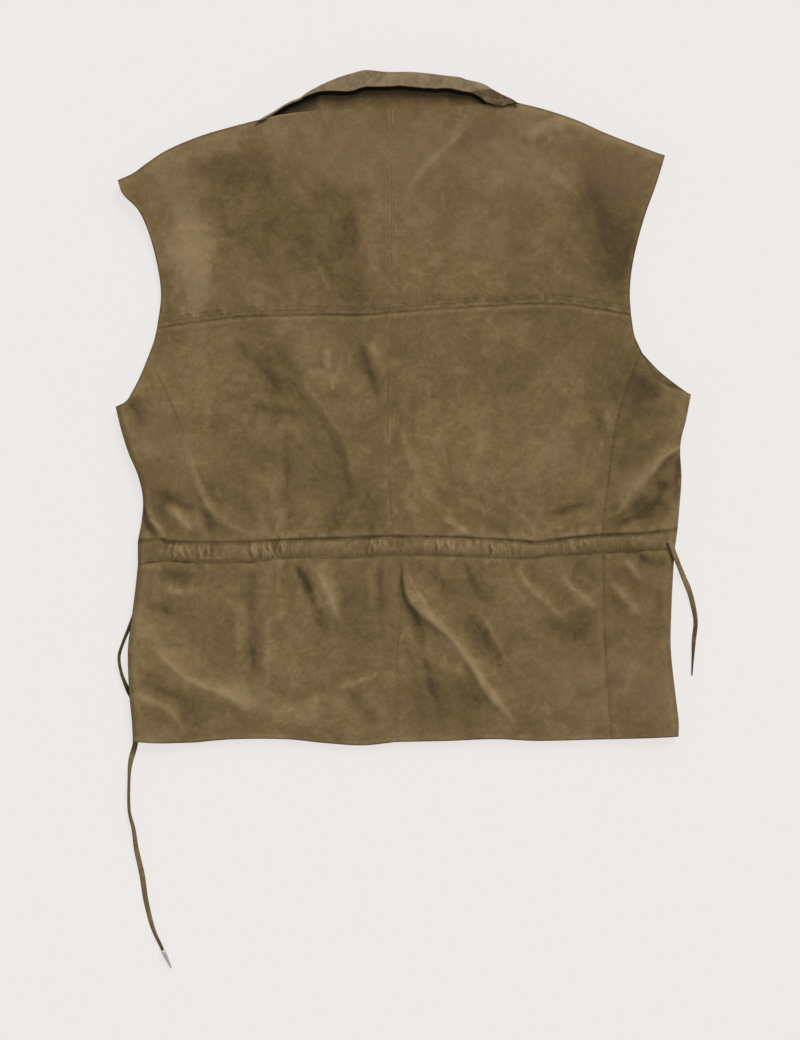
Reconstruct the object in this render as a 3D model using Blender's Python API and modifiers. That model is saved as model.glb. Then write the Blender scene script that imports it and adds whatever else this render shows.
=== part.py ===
"""Suede gilet with a drawstring waist, laid flat on its front.

The back faces up (+Z) and the collar points to +Y. The origin is on the surface
it lies on, below the middle of the garment. Lengths in the tables are
millimetres, and the objects are built in metres.
"""
import math

import bmesh
import bpy
import numpy as np
from mathutils import Vector

# Driving dimensions, mm
MM = 0.001
WALL = 1.5                # thickness of the suede
STEEPEST = 1.35           # most that a slope thickens the wall, measured upright
SEAM_GAP = 0.3            # left between pieces that are sewn together
PITCH = 13.0              # spacing of the stations on a panel
FRONT_PITCH = 26.0        # spacing on the plain front panels
ROLL_STATIONS = (0.0, 2.0, 5.0, 9.5)   # distances from a rolled edge
YOKE_PITCH = 15.0         # spacing down the yoke
SEAM_SPANS = 16           # across each half of the back
NECK_SPANS = 9            # of them, those along the neck
HIP_SPANS = 14            # across each half of the skirt
ARMHOLE_SPANS = 2         # between the yoke seam and the princess seams
FRONT_SHOULDER_SPANS = 5
FRONT_NECK_SPANS = 6
NEAR_ROLL = (0.3, 0.62)   # extra stations beside a front's rolled edge, shares of a span
SLOPE_STEP = 0.5          # distance over which a slope is measured

EDGE_LIFT = 5.0           # underside above the surface along the rolled edges
LIFT_REACH = 22.0         # width over which the fronts come down to the surface
EDGE_TOP = 8.8            # upper side of the back at its rolled edge
ROLL_RISE = 2.6           # the roll rises this much
ROLL_WIDTH = 7.0          # within this distance from the edge
SETTLE = 4.8              # the back then comes down by this much
SETTLE_REACH = 62.0       # and has come down this far from the edge

CHANNEL_BULGE = 2.2       # height of the drawstring channel over the panels
PUCKER_RISE = 0.9         # half the height of its gathers
CHANNEL_SEAM = 0.45       # gap between the channel and the panels
CHANNEL_FOOT = 0.35       # share of the bulge that is left at the channel's seams
CHANNEL_END = 0.025       # share of its length over which it flattens at each end
CHANNEL_END_ROOM = 4.0    # no gather this close to its ends

COLLAR_TOP = 16.0         # upper side of the collar's fall at centre back
COLLAR_END_TOP = 14.5     # and at its ends
COLLAR_ROLL = 4.0         # reach of the roll along the collar's upper edge
COLLAR_BASE = 6.2         # underside of the stand at the roll
COLLAR_END_RISE = 5.8     # the roll's ends lie this much higher, on the shoulders
COLLAR_END_SHARE = 0.09   # share of the collar over which they come up
ROLL_SHARE = 0.42         # the roll takes up no more than this share of the collar
STAND_HOLLOW = 1.2        # the stand hollows towards the neck seam
LEAF_WIDTH = 42.0         # collar leaf that lies under each front
FRONT_STAND = 28.0        # stand inside the neck opening
LEAF_MARGIN = 22.0        # room around the leaf before the front comes down
LEAF_RAMP = 14.0          # width of that slope
LEAF_FROM = 0.14          # share of the front neck edge where the leaf starts
LEAF_TO = 0.972           # and where it ends, near centre front
LEAF_STATIONS = 10
FRONT_CENTRE_INSET = 0.15 # the fronts stand back from each other at centre front
FRONT_SIDE_INSET = 0.3    # from the rolled edges
FRONT_TOP_INSET = 0.5     # from the shoulders and the neck
FRONT_HEM_INSET = 2.0     # and from the back's hem

LACE_RADIUS = 1.4         # drawstring, as a round cord
LACE_STEP = 6.5           # spacing of the stations along it
TIP_RADIUS = 3.0          # metal tip of the left drawstring
TIP_LENGTH = 17.5

# Seams and edges seen from above, x and y in mm. Edges that run across go from
# the wearer's left (-X) to the right, edges that run down go from the top.
EDGES = {
    "neck_left": [(-127, 259), (-106.5, 263), (-75, 267), (-43.5, 268), (-11, 267.5)],
    "neck_right": [(-11, 267.5), (19.5, 267.5), (44, 270.5), (69, 272), (90, 270.5),
                   (103.5, 273.5)],
    "shoulder_left": [(-256.5, 204), (-242.5, 210.5), (-229.5, 220), (-211.5, 231.5),
                      (-183, 243.5), (-156, 251.5), (-127, 259)],
    "shoulder_right": [(103.5, 273.5), (127.5, 267.5), (154.5, 258.5), (181.5, 246.5),
                       (208.5, 236), (235, 226)],
    "armhole_left_yoke": [(-256.5, 204), (-251.5, 191), (-238, 177), (-229, 157),
                          (-221.5, 129), (-218, 101), (-221.5, 71.5)],
    "armhole_left_back": [(-221.5, 71.5), (-224.5, 59), (-229.5, 45.5)],
    "armhole_left_side": [(-229.5, 45.5), (-236, 29), (-244, 13), (-249.5, 5),
                          (-258.5, 0.5)],
    "armhole_right_yoke": [(235, 226), (227.5, 201), (216.5, 169.5), (207.5, 134.5),
                           (204, 106), (205, 83)],
    "armhole_right_back": [(205, 83), (208, 65), (214, 51)],
    "armhole_right_side": [(214, 51), (224, 32), (235.5, 21), (258.5, 11.5)],
    "armhole_right_front": [(214, 51), (230, 34), (242, 24), (258.5, 11.5)],
    "side_left": [(-258.5, 0.5), (-254, -18.5), (-247, -41), (-238.5, -61),
                  (-234, -81.5), (-235, -101), (-238.5, -120.5)],
    "channel_end_left": [(-238.5, -120.5), (-239, -131), (-238.5, -141.5)],
    "skirt_left": [(-238.5, -141.5), (-240.5, -160.5), (-244.5, -193), (-247.5, -218),
                   (-246.5, -254), (-244, -281), (-243, -300.5)],
    "side_right": [(258.5, 11.5), (254.5, -9.5), (249, -34.5), (250, -63.5),
                   (248, -92), (246.5, -110)],
    "channel_end_right": [(246.5, -110), (245, -119), (244, -127.5)],
    "skirt_right": [(244, -127.5), (242.5, -151), (241, -182), (240.5, -218),
                    (245, -260.5), (247.5, -281), (247.5, -296)],
    "centre_yoke": [(-11, 267.5), (-11, 187), (-10, 85)],
    "centre_back": [(-10, 85), (-13, 25), (-14, -22), (-12, -74), (-9, -116)],
    "centre_skirt": [(-2, -132.5), (-1.5, -173), (-4.5, -209), (-5.5, -254),
                     (-6.5, -301)],
    "centre_front": [(-4, 190), (-5, 0), (-6.5, -301)],
    "princess_left": [(-229.5, 45.5), (-214.5, 16), (-202.5, -20), (-193.5, -61),
                      (-187.5, -97), (-183.5, -122)],
    "princess_right": [(214, 51), (201.5, 17.5), (191.5, -16), (185, -61),
                       (180.5, -97), (179.5, -115)],
    "princess_skirt_left": [(-182.5, -140), (-186.5, -164), (-189.5, -209),
                            (-189.5, -254), (-188.5, -301.5)],
    "princess_skirt_right": [(180, -131), (180.5, -178), (182, -223), (184.5, -259),
                             (187.5, -298.5)],
    "yoke_seam_left": [(-221.5, 71.5), (-192, 75.5), (-142.5, 81.5), (-84, 83),
                       (-34.5, 83), (-10, 85)],
    "yoke_seam_right": [(-10, 85), (33, 88.5), (87, 91.5), (136.5, 93), (174.5, 88.5),
                        (205, 83)],
    "waist_side_left": [(-238.5, -120.5), (-222.5, -119), (-201, -121.5),
                        (-183.5, -122)],
    "waist_left": [(-183.5, -122), (-144, -121.5), (-102, -119.5), (-56, -118),
                   (-9, -116)],
    "waist_right": [(-9, -116), (44, -117), (96, -120), (123, -121.5), (150, -118),
                    (179.5, -115)],
    "waist_side_right": [(179.5, -115), (211.5, -114), (246.5, -110)],
    "hip_side_left": [(-238.5, -141.5), (-215.5, -138.5), (-182.5, -140)],
    "hip_left": [(-182.5, -140), (-136, -139.5), (-109, -135.5), (-56, -135.5),
                 (-2, -132.5)],
    "hip_right": [(-2, -132.5), (44, -133.5), (99.5, -136.5), (127.5, -134.5),
                  (180, -131)],
    "hip_side_right": [(180, -131), (211.5, -129), (244, -127.5)],
    "hem_side_left": [(-243, -300.5), (-219, -302), (-188.5, -301.5)],
    "hem_left": [(-188.5, -301.5), (-151.5, -298.5), (-106.5, -298.5), (-70.5, -302),
                 (-37, -304), (-6.5, -301)],
    "hem_right": [(-6.5, -301), (42, -300), (82.5, -298.5), (123, -300),
                  (187.5, -298.5)],
    "hem_side_right": [(187.5, -298.5), (217.5, -297.5), (247.5, -296)],
    "front_neck_left": [(-127, 259), (-119, 238), (-98, 214), (-60, 196), (-4, 190)],
    "front_neck_right": [(-4, 190), (42, 196), (78, 218), (97, 246), (103.5, 273.5)],
    "collar_fold": [(-135, 256.5), (-111, 270.5), (-76.5, 289), (-35.5, 302.6),
                    (1.5, 302.6), (51, 297.5), (82.5, 285.5), (103.5, 273.5)],
    "collar_fall": [(-130, 258), (-115.5, 266.5), (-95.5, 276), (-76.5, 282),
                    (-48, 286), (-12, 288.5), (24, 287.5), (51, 286.5),
                    (63.5, 282.5), (77, 273), (87, 270.5), (99, 272)],
}
ROLLED_LEFT = ("side_left", "channel_end_left", "skirt_left")
ROLLED_RIGHT = ("side_right", "channel_end_right", "skirt_right")
SHOULDERS = ("shoulder_left", "shoulder_right")

# Largest folds: start x, y, bend x, y, end x, y, half width, height
FOLDS = [
    (70, 272, 30, 220, -5, 178, 9, 3.2),
    (152, 248, 172, 235, 184, 208, 8, -2.2),
    (160, 145, 168, 125, 184, 100, 10, -2.4),
    (-165, 178, -160, 160, -158, 135, 14, -2.0),
    (-190, 168, -188, 130, -185, 100, 13, 2.6),
    (-80, 192, -62, 170, -38, 128, 10, -2.2),
    (-152, 66, -137, 46, -115, 26, 13, -2.2),
    (-110, 34, -72, -16, -47, -82, 8, 4.2),
    (-136, 4, -118, -4, -96, -5, 8, -2.6),
    (-40, 56, -28, 22, -16, -6, 9, -2.2),
    (-184, -62, -172, -92, -158, -112, 8, 4.0),
    (-206, -86, -196, -100, -188, -108, 11, 4.6),
    (-236, -80, -222, -104, -206, -110, 7, 3.6),
    (168, 12, 176, -8, 181, -30, 9, -2.4),
    (68, -5, 66, -28, 60, -50, 16, 2.6),
    (22, -70, 40, -90, 57, -108, 9, 4.2),
    (120, -98, 142, -78, 156, -66, 11, 3.4),
    (246, -36, 228, -52, 212, -76, 9, 4.6),
    (-224, -232, -180, -248, -128, -276, 12, 3.6),
    (-138, -164, -138, -200, -136, -250, 9, -2.6),
    (-92, -142, -82, -176, -70, -208, 9, 3.8),
    (-22, -146, -20, -170, -20, -190, 10, -2.2),
    (2, -140, 36, -206, 106, -292, 10, 5.6),
    (-2, -150, 8, -190, 28, -272, 10, -2.6),
    (60, -180, 78, -210, 92, -240, 14, -2.6),
    (104, -148, 114, -160, 130, -176, 12, 3.0),
    (148, -160, 160, -168, 174, -180, 12, 3.0),
    (126, -192, 142, -204, 158, -212, 14, -2.4),
    (156, -262, 176, -252, 196, -244, 12, -2.2),
    (-172, -112, -150, -116, -128, -117, 8, 2.4),
]
FOLD_TAPER = 0.35         # share of a fold's length that fades at each end

# Gathers along the channel: from x, to x, number
GATHERS = [
    (-234, -200, 3), (-200, -168, 6), (-168, -132, 3), (-132, -104, 6),
    (-104, -30, 4), (-30, -8, 4), (-8, 30, 3), (30, 46, 4), (46, 62, 1),
    (62, 94, 10), (94, 150, 4), (150, 168, 3), (168, 240, 5),
]
CHANNEL_ROWS = (0.0, 0.28, 0.72, 1.0)

STAND_ROWS = (1.0, 0.66, 0.33, 0.0)   # shares of the way up the collar's stand
# Section across the fall: share of its width, share of the roll's reach, share of
# its height. Its inside also has the side on which the wall lies.
FALL_OUTSIDE = [
    (0.0, 0.0, 0.93), (0.35, 0.0, 1.0), (1.0, -1.2, 0.97), (1.0, -0.35, 0.84),
    (1.0, 0.0, 0.5), (1.0, -0.35, 0.12), (1.0, -1.0, 0.0),
]
FALL_INSIDE = [
    (0.0, 0.0, 0.93, -1), (0.35, 0.0, 1.0, -1), (1.0, -1.3, 0.97, -1),
    (1.0, -0.75, 0.84, -1), (1.0, -0.45, 0.5, 0), (1.0, -0.75, 0.12, 1),
    (1.0, -1.0, 0.0, 1),
]

# Route of each drawstring: x, y, height of its middle
LACE_RIGHT = [
    (238.5, -119.5, 13.5), (241, -125.5, 12.7), (244, -133.5, 11.0), (248, -142.5, 5.6),
    (252.5, -152.5, 2.1), (258, -166, 1.5), (261.5, -180, 1.5), (263.5, -194, 1.5),
    (262, -209, 1.5), (261, -224.5, 1.5), (260, -241.5, 1.5),
]
LACE_LEFT = [
    (-236, -131, 1.5), (-236.5, -148, 1.5), (-238, -164, 1.5), (-241.5, -184, 1.5),
    (-247, -198.5, 1.5), (-252.5, -212, 1.5), (-256, -224.5, 1.5), (-254, -239, 1.5),
    (-248.5, -253.5, 1.5), (-243, -265, 1.5), (-240.5, -281, 1.5), (-241.5, -302, 1.5),
    (-245.5, -318, 1.5), (-247, -333.5, 1.5), (-247, -362, 1.5), (-243, -380, 1.5),
    (-240.5, -398, 1.5), (-235.5, -421, 1.5), (-232, -444, 1.5), (-225.5, -469.5, 1.7),
    (-216.6, -488.7, 2.7),
]
TIP_TOP = (-216.3, -489.4, 3.3)
TIP_POINT = (-209.0, -505.2, 1.7)
# Tip, turned: distance from its top, radius
TIP_PROFILE = [(0.0, 0.0), (0.0, 2.5), (0.5, TIP_RADIUS), (4.5, 2.9), (5.0, 2.55),
               (14.5, 1.25), (TIP_LENGTH - 0.5, 0.8), (TIP_LENGTH, 0.0)]
TIP_STEPS = 16

SUEDE = (0.170, 0.122, 0.062)
SUEDE_SHADE = (0.065, 0.044, 0.020)
SUEDE_PALE = (0.260, 0.196, 0.114)
METAL = (0.60, 0.59, 0.57)


def start_empty():
    """Remove whatever the file holds and make the garment's collection."""
    for item in list(bpy.data.objects):
        bpy.data.objects.remove(item, do_unlink=True)
    group = bpy.data.collections.new("suede_gilet")
    bpy.context.scene.collection.children.link(group)
    return group


def finish(name, colour, roughness, metallic=0.0):
    """A material of its own for one piece."""
    material = bpy.data.materials.new(name + "_finish")
    material.use_nodes = True
    shader = material.node_tree.nodes["Principled BSDF"]
    shader.inputs["Base Color"].default_value = (*colour, 1.0)
    shader.inputs["Roughness"].default_value = roughness
    shader.inputs["Metallic"].default_value = metallic
    return material


def smooth_curve(points, per_span=10):
    """A Catmull-Rom curve through the points, as a dense polyline."""
    knots = np.array(points, dtype=float)
    ends = np.vstack([2 * knots[0] - knots[1], knots, 2 * knots[-1] - knots[-2]])
    steps = np.linspace(0.0, 1.0, per_span, endpoint=False)[:, None]
    spans = []
    for k in range(len(knots) - 1):
        a, b, c, d = ends[k:k + 4]
        spans.append(0.5 * (2 * b + (c - a) * steps
                            + (2 * a - 5 * b + 4 * c - d) * steps ** 2
                            + (3 * b - a - 3 * c + d) * steps ** 3))
    spans.append(knots[-1:])
    return np.vstack(spans)


def lengths_along(line):
    """Distance from the start at each point of a polyline."""
    return np.concatenate([[0.0], np.cumsum(np.linalg.norm(np.diff(line, axis=0), axis=1))])


def at_fractions(line, fractions):
    """Points at the given shares of a polyline's length."""
    along = lengths_along(line)
    places = np.asarray(fractions, dtype=float) * along[-1]
    return np.column_stack([np.interp(places, along, line[:, k])
                            for k in range(line.shape[1])])


CURVES = {name: smooth_curve(points) for name, points in EDGES.items()}


def edge_length(*names):
    return sum(lengths_along(CURVES[name])[-1] for name in names)


def edge(*pieces):
    """One panel edge from (curve name, number of spans) pieces, joined."""
    runs = []
    for name, spans in pieces:
        fractions = spans if isinstance(spans, np.ndarray) else np.linspace(0, 1, spans + 1)
        run = at_fractions(CURVES[name], fractions)
        runs.append(run if not runs else run[1:])
    return np.vstack(runs)


def graded(length, pitch, start_rolled, end_rolled):
    """Shares of a length: close together at a rolled edge, then evenly spaced."""
    close = np.array(ROLL_STATIONS) / length
    first = close if start_rolled else close[:1]
    last = 1.0 - close[::-1] if end_rolled else np.array([1.0])
    room = last[0] - first[-1]
    spans = max(2, int(round(room * length / pitch)))
    middle = np.linspace(first[-1], last[0], spans + 1)[1:-1]
    return np.concatenate([first, middle, last])


def distance_to(lines, x, y):
    """Shortest distance from each point to a set of polylines."""
    best = np.full(np.shape(x), 1e9)
    for line in lines:
        for a, b in zip(line[:-1], line[1:]):
            span = b - a
            along = ((x - a[0]) * span[0] + (y - a[1]) * span[1]) / (span @ span)
            along = np.clip(along, 0.0, 1.0)
            gap = np.hypot(x - a[0] - along * span[0], y - a[1] - along * span[1])
            best = np.minimum(best, gap)
    return best


def ease(value):
    """Smooth step from 0 to 1."""
    t = np.clip(value, 0.0, 1.0)
    return t * t * (3.0 - 2.0 * t)


ROLLED_LINES = [CURVES[name][::3] for name in ROLLED_LEFT + ROLLED_RIGHT + SHOULDERS]
FRONT_NECK_LINES = [CURVES["front_neck_left"][::4], CURVES["front_neck_right"][::4]]


def front_underside(x, y):
    """Height of the fronts' lower face: flat, but up at rolled edges and the leaf."""
    out = distance_to(ROLLED_LINES, x, y)
    lift = EDGE_LIFT * (1.0 - np.minimum(out / LIFT_REACH, 1.0)) ** 2
    neck = distance_to(FRONT_NECK_LINES, x, y)
    leaf = 1.0 - ease((neck - LEAF_WIDTH - LEAF_MARGIN) / LEAF_RAMP)
    return np.maximum(lift, (WALL + SEAM_GAP) * leaf)


def folds_at(x, y):
    """Sum of the large folds at each point."""
    height = np.zeros(np.shape(x))
    for ax, ay, bx, by, cx, cy, half_width, rise in FOLDS:
        line = smooth_curve([(ax, ay), (bx, by), (cx, cy)], 4)
        along = lengths_along(line)
        best = np.full(np.shape(x), 1e9)
        place = np.zeros(np.shape(x))
        for k in range(len(line) - 1):
            span = line[k + 1] - line[k]
            t = ((x - line[k][0]) * span[0] + (y - line[k][1]) * span[1]) / (span @ span)
            t = np.clip(t, 0.0, 1.0)
            gap = np.hypot(x - line[k][0] - t * span[0], y - line[k][1] - t * span[1])
            nearer = gap < best
            best = np.where(nearer, gap, best)
            share = (along[k] + t * (along[k + 1] - along[k])) / along[-1]
            place = np.where(nearer, share, place)
        fade = ease(place / FOLD_TAPER) * ease((1.0 - place) / FOLD_TAPER)
        height += rise * fade * np.exp(-(best / half_width) ** 2)
    return height


def back_top(x, y):
    """Height of the back's upper face."""
    out = distance_to(ROLLED_LINES, x, y)
    roll = ROLL_RISE * (1.0 - (1.0 - np.minimum(out / ROLL_WIDTH, 1.0)) ** 2)
    settled = SETTLE * ease((out - ROLL_WIDTH) / SETTLE_REACH)
    folds = folds_at(x, y) * ease(out / ROLL_WIDTH)
    height = EDGE_TOP + roll - settled + folds
    lowest = front_underside(x, y) + WALL + SEAM_GAP + WALL * STEEPEST
    return np.maximum(height, lowest)


def upright_thickness(surface, x, y):
    """Wall thickness measured straight down, so that slopes keep their wall."""
    slope_x = (surface(x + SLOPE_STEP, y) - surface(x - SLOPE_STEP, y)) / (2 * SLOPE_STEP)
    slope_y = (surface(x, y + SLOPE_STEP) - surface(x, y - SLOPE_STEP)) / (2 * SLOPE_STEP)
    return WALL * np.minimum(np.sqrt(1.0 + slope_x ** 2 + slope_y ** 2), STEEPEST)


def patch(left, right, top, bottom):
    """Points of a panel between its four edges, rows from the top down."""
    u = 0.5 * (lengths_along(top) / lengths_along(top)[-1]
               + lengths_along(bottom) / lengths_along(bottom)[-1])
    v = 0.5 * (lengths_along(left) / lengths_along(left)[-1]
               + lengths_along(right) / lengths_along(right)[-1])
    u = u[None, :, None]
    v = v[:, None, None]
    across = (1 - v) * top[None] + v * bottom[None]
    down = (1 - u) * left[:, None] + u * right[:, None]
    corners = ((1 - v) * ((1 - u) * top[0] + u * top[-1])
               + v * ((1 - u) * bottom[0] + u * bottom[-1]))
    return across + down - corners


def move_edge_in(grid, side, amount):
    """Move one edge of a grid towards the panel, square to the edge."""
    row = {"left": grid[:, 0], "right": grid[:, -1], "top": grid[0], "bottom": grid[-1]}[side]
    inner = {"left": grid[:, 1], "right": grid[:, -2], "top": grid[1],
             "bottom": grid[-2]}[side]
    tangent = np.gradient(row, axis=0)
    tangent /= np.linalg.norm(tangent, axis=1)[:, None]
    normal = np.column_stack([-tangent[:, 1], tangent[:, 0]])
    inward = np.sign(np.sum(normal * (inner - row), axis=1))[:, None]
    row += normal * inward * amount


def panel_grid(left, right, top, bottom, insets):
    """A panel's points with its seam allowances taken off."""
    grid = patch(left, right, top, bottom)
    for side, amount in insets.items():
        move_edge_in(grid, side, amount)
    return grid


def cloth_wall(group, name, outer, inner, material):
    """A closed wall of cloth between an outer and an inner grid of points."""
    rows, columns = outer.shape[:2]
    mesh = bpy.data.meshes.new(name)
    work = bmesh.new()
    bmesh.ops.create_grid(work, x_segments=columns - 1, y_segments=rows - 1, size=0.5)
    station = work.verts.layers.int.new("station")
    work.verts.ensure_lookup_table()
    outer_points = outer.reshape(-1, 3) * MM
    inner_points = inner.reshape(-1, 3) * MM
    for number, vertex in enumerate(work.verts):
        vertex[station] = number
        vertex.co = Vector(inner_points[number])
    raised = bmesh.ops.extrude_face_region(work, geom=work.faces[:])
    for item in raised["geom"]:
        if isinstance(item, bmesh.types.BMVert):
            item.co = Vector(outer_points[item[station]])
    bmesh.ops.recalc_face_normals(work, faces=work.faces[:])
    work.to_mesh(mesh)
    work.free()
    mesh.shade_smooth()
    mesh.materials.append(material)
    piece = bpy.data.objects.new(name, mesh)
    group.objects.link(piece)
    return piece


def lay_panel(group, name, grid, surface, material):
    """A panel whose upper face follows a height function."""
    x = grid[..., 0]
    y = grid[..., 1]
    top = surface(x, y)
    outer = np.dstack([x, y, top])
    inner = np.dstack([x, y, top - upright_thickness(surface, x, y)])
    return cloth_wall(group, name, outer, inner, material)


def add_yoke(group, hand, rows):
    """Half of the shoulder yoke, from the neck and shoulder to the yoke seam."""
    shoulder = ("shoulder_" + hand, SEAM_SPANS - NECK_SPANS)
    neck = ("neck_" + hand, NECK_SPANS)
    outside = edge(("armhole_" + hand + "_yoke", rows))
    centre = edge(("centre_yoke", rows))
    seam = edge(("yoke_seam_" + hand, SEAM_SPANS))
    if hand == "left":
        grid = panel_grid(outside, centre, edge(shoulder, neck), seam, {})
        inner_side = "right"
    else:
        grid = panel_grid(centre, outside, edge(neck, shoulder), seam, {})
        inner_side = "left"
    for side in (inner_side, "top", "bottom"):
        move_edge_in(grid, side, SEAM_GAP / 2)
    name = "yoke_" + hand
    return lay_panel(group, name, grid, back_top, finish(name, SUEDE, 0.95))


def add_back(group, hand, princess_spans):
    """Middle panel of the back between yoke and waist."""
    centre = edge(("centre_back", ARMHOLE_SPANS + princess_spans))
    outside = edge(("armhole_" + hand + "_back", ARMHOLE_SPANS),
                   ("princess_" + hand, princess_spans))
    top = edge(("yoke_seam_" + hand, SEAM_SPANS))
    bottom = edge(("waist_" + hand, SEAM_SPANS))
    left, right = (outside, centre) if hand == "left" else (centre, outside)
    insets = {side: SEAM_GAP / 2 for side in ("left", "right", "top", "bottom")}
    grid = panel_grid(left, right, top, bottom, insets)
    name = "back_" + hand
    return lay_panel(group, name, grid, back_top, finish(name, SUEDE, 0.95))


def add_side(group, hand, princess_spans):
    """Side panel of the back between armhole and waist, rolled at its side edge."""
    outside = edge(("side_" + hand, princess_spans))
    seam = edge(("princess_" + hand, princess_spans))
    width = edge_length("armhole_" + hand + "_side", "waist_side_" + hand) / 2
    across = graded(width, PITCH, hand == "left", hand == "right")
    waist = edge(("waist_side_" + hand, across))
    if hand == "left":
        armhole = edge(("armhole_left_side", 1.0 - across[::-1]))[::-1]
        left, right, seam_side = outside, seam, "right"
    else:
        armhole = edge(("armhole_right_side", across))
        left, right, seam_side = seam, outside, "left"
    grid = panel_grid(left, right, armhole, waist,
                      {seam_side: SEAM_GAP / 2, "bottom": SEAM_GAP / 2})
    name = "side_" + hand
    return lay_panel(group, name, grid, back_top, finish(name, SUEDE, 0.95))


def add_skirt(group, hand, rows):
    """The two panels below the waist on one side."""
    centre = edge(("centre_skirt", rows))
    princess = edge(("princess_skirt_" + hand, rows))
    outside = edge(("skirt_" + hand, rows))
    top = edge(("hip_" + hand, HIP_SPANS))
    bottom = edge(("hem_" + hand, HIP_SPANS))
    left, right = (princess, centre) if hand == "left" else (centre, princess)
    insets = {side: SEAM_GAP / 2 for side in ("left", "right", "top")}
    grid = panel_grid(left, right, top, bottom, insets)
    name = "skirt_back_" + hand
    lay_panel(group, name, grid, back_top, finish(name, SUEDE, 0.95))
    width = edge_length("hip_side_" + hand)
    across = graded(width, PITCH, hand == "left", hand == "right")
    top = edge(("hip_side_" + hand, across))
    bottom = edge(("hem_side_" + hand, across))
    left, right = (outside, princess) if hand == "left" else (princess, outside)
    seam_side = "right" if hand == "left" else "left"
    grid = panel_grid(left, right, top, bottom,
                      {seam_side: SEAM_GAP / 2, "top": SEAM_GAP / 2})
    name = "skirt_side_" + hand
    lay_panel(group, name, grid, back_top, finish(name, SUEDE, 0.95))


def gather_stations():
    """Places along the channel, each a crest (1) or a hollow (-1) of the gathers."""
    places = []
    for start, end, number in GATHERS:
        places.extend(np.linspace(start, end, 2 * number, endpoint=False))
    signs = [1.0 if k % 2 else -1.0 for k in range(len(places))]
    return np.array(places), np.array(signs)


def channel_edge(prefix):
    return np.vstack([CURVES[prefix + "_side_left"], CURVES[prefix + "_left"][1:],
                      CURVES[prefix + "_right"][1:], CURVES[prefix + "_side_right"][1:]])


def add_channel(group):
    """The drawstring channel: a raised band with its gathers, across the waist."""
    places, signs = gather_stations()
    waist = channel_edge("waist")
    hip = channel_edge("hip")
    kept = ((places > waist[0, 0] + CHANNEL_END_ROOM)
            & (places < waist[-1, 0] - CHANNEL_END_ROOM))
    inside = places[kept]
    signs = signs[kept]
    share = (inside - waist[0, 0]) / (waist[-1, 0] - waist[0, 0])
    share = np.concatenate([[0.0], share, [1.0]])
    signs = np.concatenate([[0.0], signs, [0.0]])
    top = at_fractions(waist, share)
    bottom = at_fractions(hip, share)
    down = np.array(CHANNEL_ROWS)[:, None, None]
    grid = (1 - down) * top[None] + down * bottom[None]
    move_edge_in(grid, "top", CHANNEL_SEAM)
    move_edge_in(grid, "bottom", CHANNEL_SEAM)
    x = grid[..., 0]
    y = grid[..., 1]
    crown = np.sin(math.pi * np.array(CHANNEL_ROWS))[:, None]
    crown = CHANNEL_FOOT + (1.0 - CHANNEL_FOOT) * crown
    near_end = ease(np.minimum(share, 1 - share) / CHANNEL_END)[None, :]
    low = back_top(x, y)
    high = low + CHANNEL_BULGE * crown * near_end + PUCKER_RISE * signs[None, :] * crown
    outer = np.dstack([x, y, np.maximum(high, low)])
    inner = np.dstack([x, y, np.maximum(high, low) - WALL])
    cloth_wall(group, "drawstring_channel", outer, inner,
               finish("drawstring_channel", SUEDE, 0.95))


def refine_edge(grid, side):
    """Add two columns close to an outer edge, where the cloth rolls up."""
    first, second = NEAR_ROLL
    if side == "left":
        step = grid[:, 1:2] - grid[:, :1]
        near = [grid[:, :1], grid[:, :1] + step * first, grid[:, :1] + step * second,
                grid[:, 1:]]
    else:
        step = grid[:, -2:-1] - grid[:, -1:]
        near = [grid[:, :-1], grid[:, -1:] + step * second, grid[:, -1:] + step * first,
                grid[:, -1:]]
    return np.concatenate(near, axis=1)


def add_front(group, hand):
    """A plain front panel, which the garment lies on."""
    sides = ROLLED_LEFT if hand == "left" else ROLLED_RIGHT
    lower_armhole = "armhole_left_side" if hand == "left" else "armhole_right_front"
    armhole = ("armhole_" + hand + "_yoke", "armhole_" + hand + "_back", lower_armhole)
    outside = []
    for name in armhole + sides:
        spans = max(1, int(round(edge_length(name) / FRONT_PITCH)))
        outside.append((name, spans))
    rows = sum(spans for _, spans in outside)
    outer_line = edge(*outside)
    centre_line = edge(("centre_front", rows))
    shares = np.linspace(0, 1, FRONT_SHOULDER_SPANS + FRONT_NECK_SPANS + 1)
    shoulder = ("shoulder_" + hand, FRONT_SHOULDER_SPANS)
    neck = ("front_neck_" + hand, FRONT_NECK_SPANS)
    if hand == "left":
        hem = np.vstack([CURVES["hem_side_left"], CURVES["hem_left"][1:]])
        grid = patch(outer_line, centre_line, edge(shoulder, neck), at_fractions(hem, shares))
        centre_side, outer_side = "right", "left"
    else:
        hem = np.vstack([CURVES["hem_right"], CURVES["hem_side_right"][1:]])
        grid = patch(centre_line, outer_line, edge(neck, shoulder), at_fractions(hem, shares))
        centre_side, outer_side = "left", "right"
    grid = refine_edge(grid, outer_side)
    for side, amount in ((centre_side, FRONT_CENTRE_INSET), (outer_side, FRONT_SIDE_INSET),
                         ("top", FRONT_TOP_INSET), ("bottom", FRONT_HEM_INSET)):
        move_edge_in(grid, side, amount)
    x = grid[..., 0]
    y = grid[..., 1]
    low = front_underside(x, y)
    outer = np.dstack([x, y, low + WALL])
    inner = np.dstack([x, y, low])
    name = "front_" + hand
    cloth_wall(group, name, outer, inner, finish(name, SUEDE, 0.95))


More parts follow.
